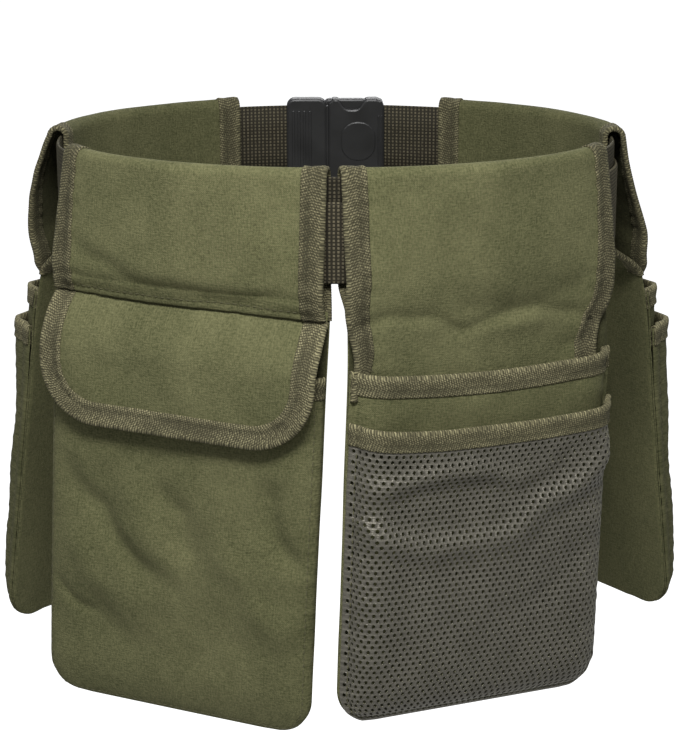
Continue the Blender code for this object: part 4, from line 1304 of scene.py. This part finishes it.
class TOOLBELT_OT_stitches(Operator):
    """Sew the hems, tapes and pocket edges"""

    bl_idname = "toolbelt.stitches"
    bl_label = "Stitches"

    def execute(self, context):
        length = sizes().stitch
        on_tape = CANVAS / 2 + TAPE_THICKNESS * 0.6
        on_cloth = CANVAS / 2
        thread = finish("sewing_thread")
        for pouch in POUCHES:
            rows = []
            sleeve = Sleeve(pouch)
            for side in (-1, 1):
                path = [(side * (float(sleeve.half(np.array(run))) - TAPE_WIDTH + STITCH_INSET), run)
                        for run in np.linspace(0.002, sleeve.seam_behind - 0.002, 90)]
                rows.append(stitch_row(sleeve, path, on_tape, length))
                rows.append(stitch_row(sleeve, path, -on_tape, length))
            if pouch is FLAP_POUCH:
                reach = pouch.width / 2 - 0.001
                path = [(x, HEM_STITCHES) for x in np.linspace(-reach, reach, 60)]
                rows.append(stitch_row(sleeve, path, on_cloth, length))
            for index, pocket in enumerate(pouch.pockets):
                panel = PocketPanel(pouch, index)
                half = pouch.width / 2
                level = panel.mouth + TAPE_WIDTH * MOUTH_REACH - STITCH_INSET
                path = [(x, level) for x in np.linspace(-half + 0.001, half - 0.001, 60)]
                rows.append(stitch_row(panel, path, pocket.thickness / 2 + TAPE_THICKNESS * 0.6, length))
            outermost = PocketPanel(pouch, len(pouch.pockets) - 1)
            side = pouch.width / 2 - SEAM_INSET
            right = [(side, d) for d in np.linspace(outermost.mouth + TAPE_WIDTH, pouch.length - pouch.corner, 50)]
            right += [(side, pouch.length - pouch.corner + (pouch.corner - SEAM_INSET) * math.sin(a))
                      for a in np.linspace(0, math.pi / 2, 14)[1:]]
            path = right + [(x, pouch.length - SEAM_INSET) for x in np.linspace(side, -side, 70)[1:-1]]
            path += [(-x, d) for x, d in reversed(right)]
            rows.append(stitch_row(outermost, path, outermost.pocket.thickness / 2 + 0.0001, length))
            stitch_piece(f"{pouch.name}_stitches", rows, thread)
        flap = FlapPanel()
        edge, inward = flap_tape_path(flap, 0.004)
        path = edge + inward * (TAPE_WIDTH - STITCH_INSET)
        rows = [stitch_row(flap, path, on_tape, length), stitch_row(flap, path, -on_tape, length)]
        stitch_piece("flap_stitches", rows, thread)
        return {"FINISHED"}


class TOOLBELT_OT_stage(Operator):
    """Set the pale floor, the soft lights, the white surroundings and the camera"""

    bl_idname = "toolbelt.stage"
    bl_label = "Stage"

    def light(self, name, where, target, width, height, power):
        """A soft rectangular light that faces a target."""
        data = bpy.data.lights.new(name, "AREA")
        data.shape = "RECTANGLE"
        data.size, data.size_y, data.energy = width, height, power
        lamp = bpy.data.objects.new(name, data)
        lamp.location = where
        lamp.visible_camera = False
        lamp.rotation_euler = (Vector(target) - Vector(where)).to_track_quat("-Z", "Y").to_euler()
        bpy.context.scene.collection.objects.link(lamp)

    def execute(self, context):
        scene = context.scene
        shape = bmesh.new()
        bmesh.ops.create_grid(shape, x_segments=8, y_segments=8, size=9.0)
        mesh = bpy.data.meshes.new("floor")
        shape.to_mesh(mesh)
        shape.free()
        floor = bpy.data.objects.new("floor", mesh)
        floor.location = (0, 4, -0.95)
        scene.collection.objects.link(floor)
        pale = Finish("floor_paint", 0.9)
        seen = pale.add("ShaderNodeLightPath")
        glow = pale.mixed(seen, (0.10, 0.10, 0.10, 1.0), (1.0, 1.0, 1.0, 1.0))
        pale.set(pale.shader, {"Base Color": (0.55, 0.55, 0.55, 1.0), "Emission Color": glow,
                               "Emission Strength": 0.95})
        mesh.materials.append(pale.material)

        world = bpy.data.worlds.new("studio")
        world.use_nodes = True
        scene.world = world
        nodes, links = world.node_tree.nodes, world.node_tree.links
        nodes["Background"].inputs["Color"].default_value = (0.93, 0.95, 1.0, 1.0)
        nodes["Background"].inputs["Strength"].default_value = 0.27
        white = nodes.new("ShaderNodeBackground")
        white.inputs["Color"].default_value = (1.0, 1.0, 1.0, 1.0)
        white.inputs["Strength"].default_value = 1.0
        seen = nodes.new("ShaderNodeLightPath")
        mix = nodes.new("ShaderNodeMixShader")
        links.new(seen.outputs["Is Camera Ray"], mix.inputs[0])
        links.new(nodes["Background"].outputs[0], mix.inputs[1])
        links.new(white.outputs[0], mix.inputs[2])
        links.new(mix.outputs[0], nodes["World Output"].inputs["Surface"])

        self.light("key", (-0.05, -0.88, 0.88), (0, -0.1, -0.02), 0.45, 0.32, 17)
        self.light("back", (0.2, 1.8, 1.0), (0, 0, -0.05), 1.4, 0.8, 19)

        data = bpy.data.cameras.new("camera")
        data.sensor_width = 36
        data.lens = 109.56
        camera = bpy.data.objects.new("camera", data)
        camera.location = (0.004, -1.300, 0.2593)
        camera.rotation_euler = (math.radians(90 - 16.2), math.radians(0.1), 0)
        scene.collection.objects.link(camera)
        scene.camera = camera
        scene.view_settings.view_transform = "Standard"
        scene.view_settings.look = "None"
        return {"FINISHED"}


class TOOLBELT_PT_panel(Panel):
    """Lists the belt's pieces, sizes and colours"""

    bl_label = "Garden Tool Belt"
    bl_idname = "TOOLBELT_PT_panel"
    bl_space_type = "VIEW_3D"
    bl_region_type = "UI"
    bl_category = "Tool Belt"

    def draw(self, context):
        layout = self.layout
        for operator in OPERATORS:
            layout.operator(operator.bl_idname)
        for settings in (context.scene.toolbelt_cloth, context.scene.toolbelt_colours):
            box = layout.box()
            for name in settings.__annotations__:
                box.prop(settings, name)


OPERATORS = (
    TOOLBELT_OT_webbing,
    TOOLBELT_OT_clasp,
    TOOLBELT_OT_canvas,
    TOOLBELT_OT_flap,
    TOOLBELT_OT_bindings,
    TOOLBELT_OT_netting,
    TOOLBELT_OT_stitches,
    TOOLBELT_OT_stage,
)
CLASSES = (ClothSettings, ColourSettings, *OPERATORS, TOOLBELT_PT_panel)


def register():
    """Registers the classes and the scene's settings."""
    for cls in CLASSES:
        bpy.utils.register_class(cls)
    bpy.types.Scene.toolbelt_cloth = PointerProperty(type=ClothSettings)
    bpy.types.Scene.toolbelt_colours = PointerProperty(type=ColourSettings)


def unregister():
    """Takes them away again."""
    del bpy.types.Scene.toolbelt_colours
    del bpy.types.Scene.toolbelt_cloth
    for cls in reversed(CLASSES):
        bpy.utils.unregister_class(cls)


def main():
    """Builds the belt and its stage."""
    register()
    for operator in OPERATORS:
        group, name = operator.bl_idname.split(".")
        getattr(getattr(bpy.ops, group), name)()


if __name__ == "__main__":
    main()
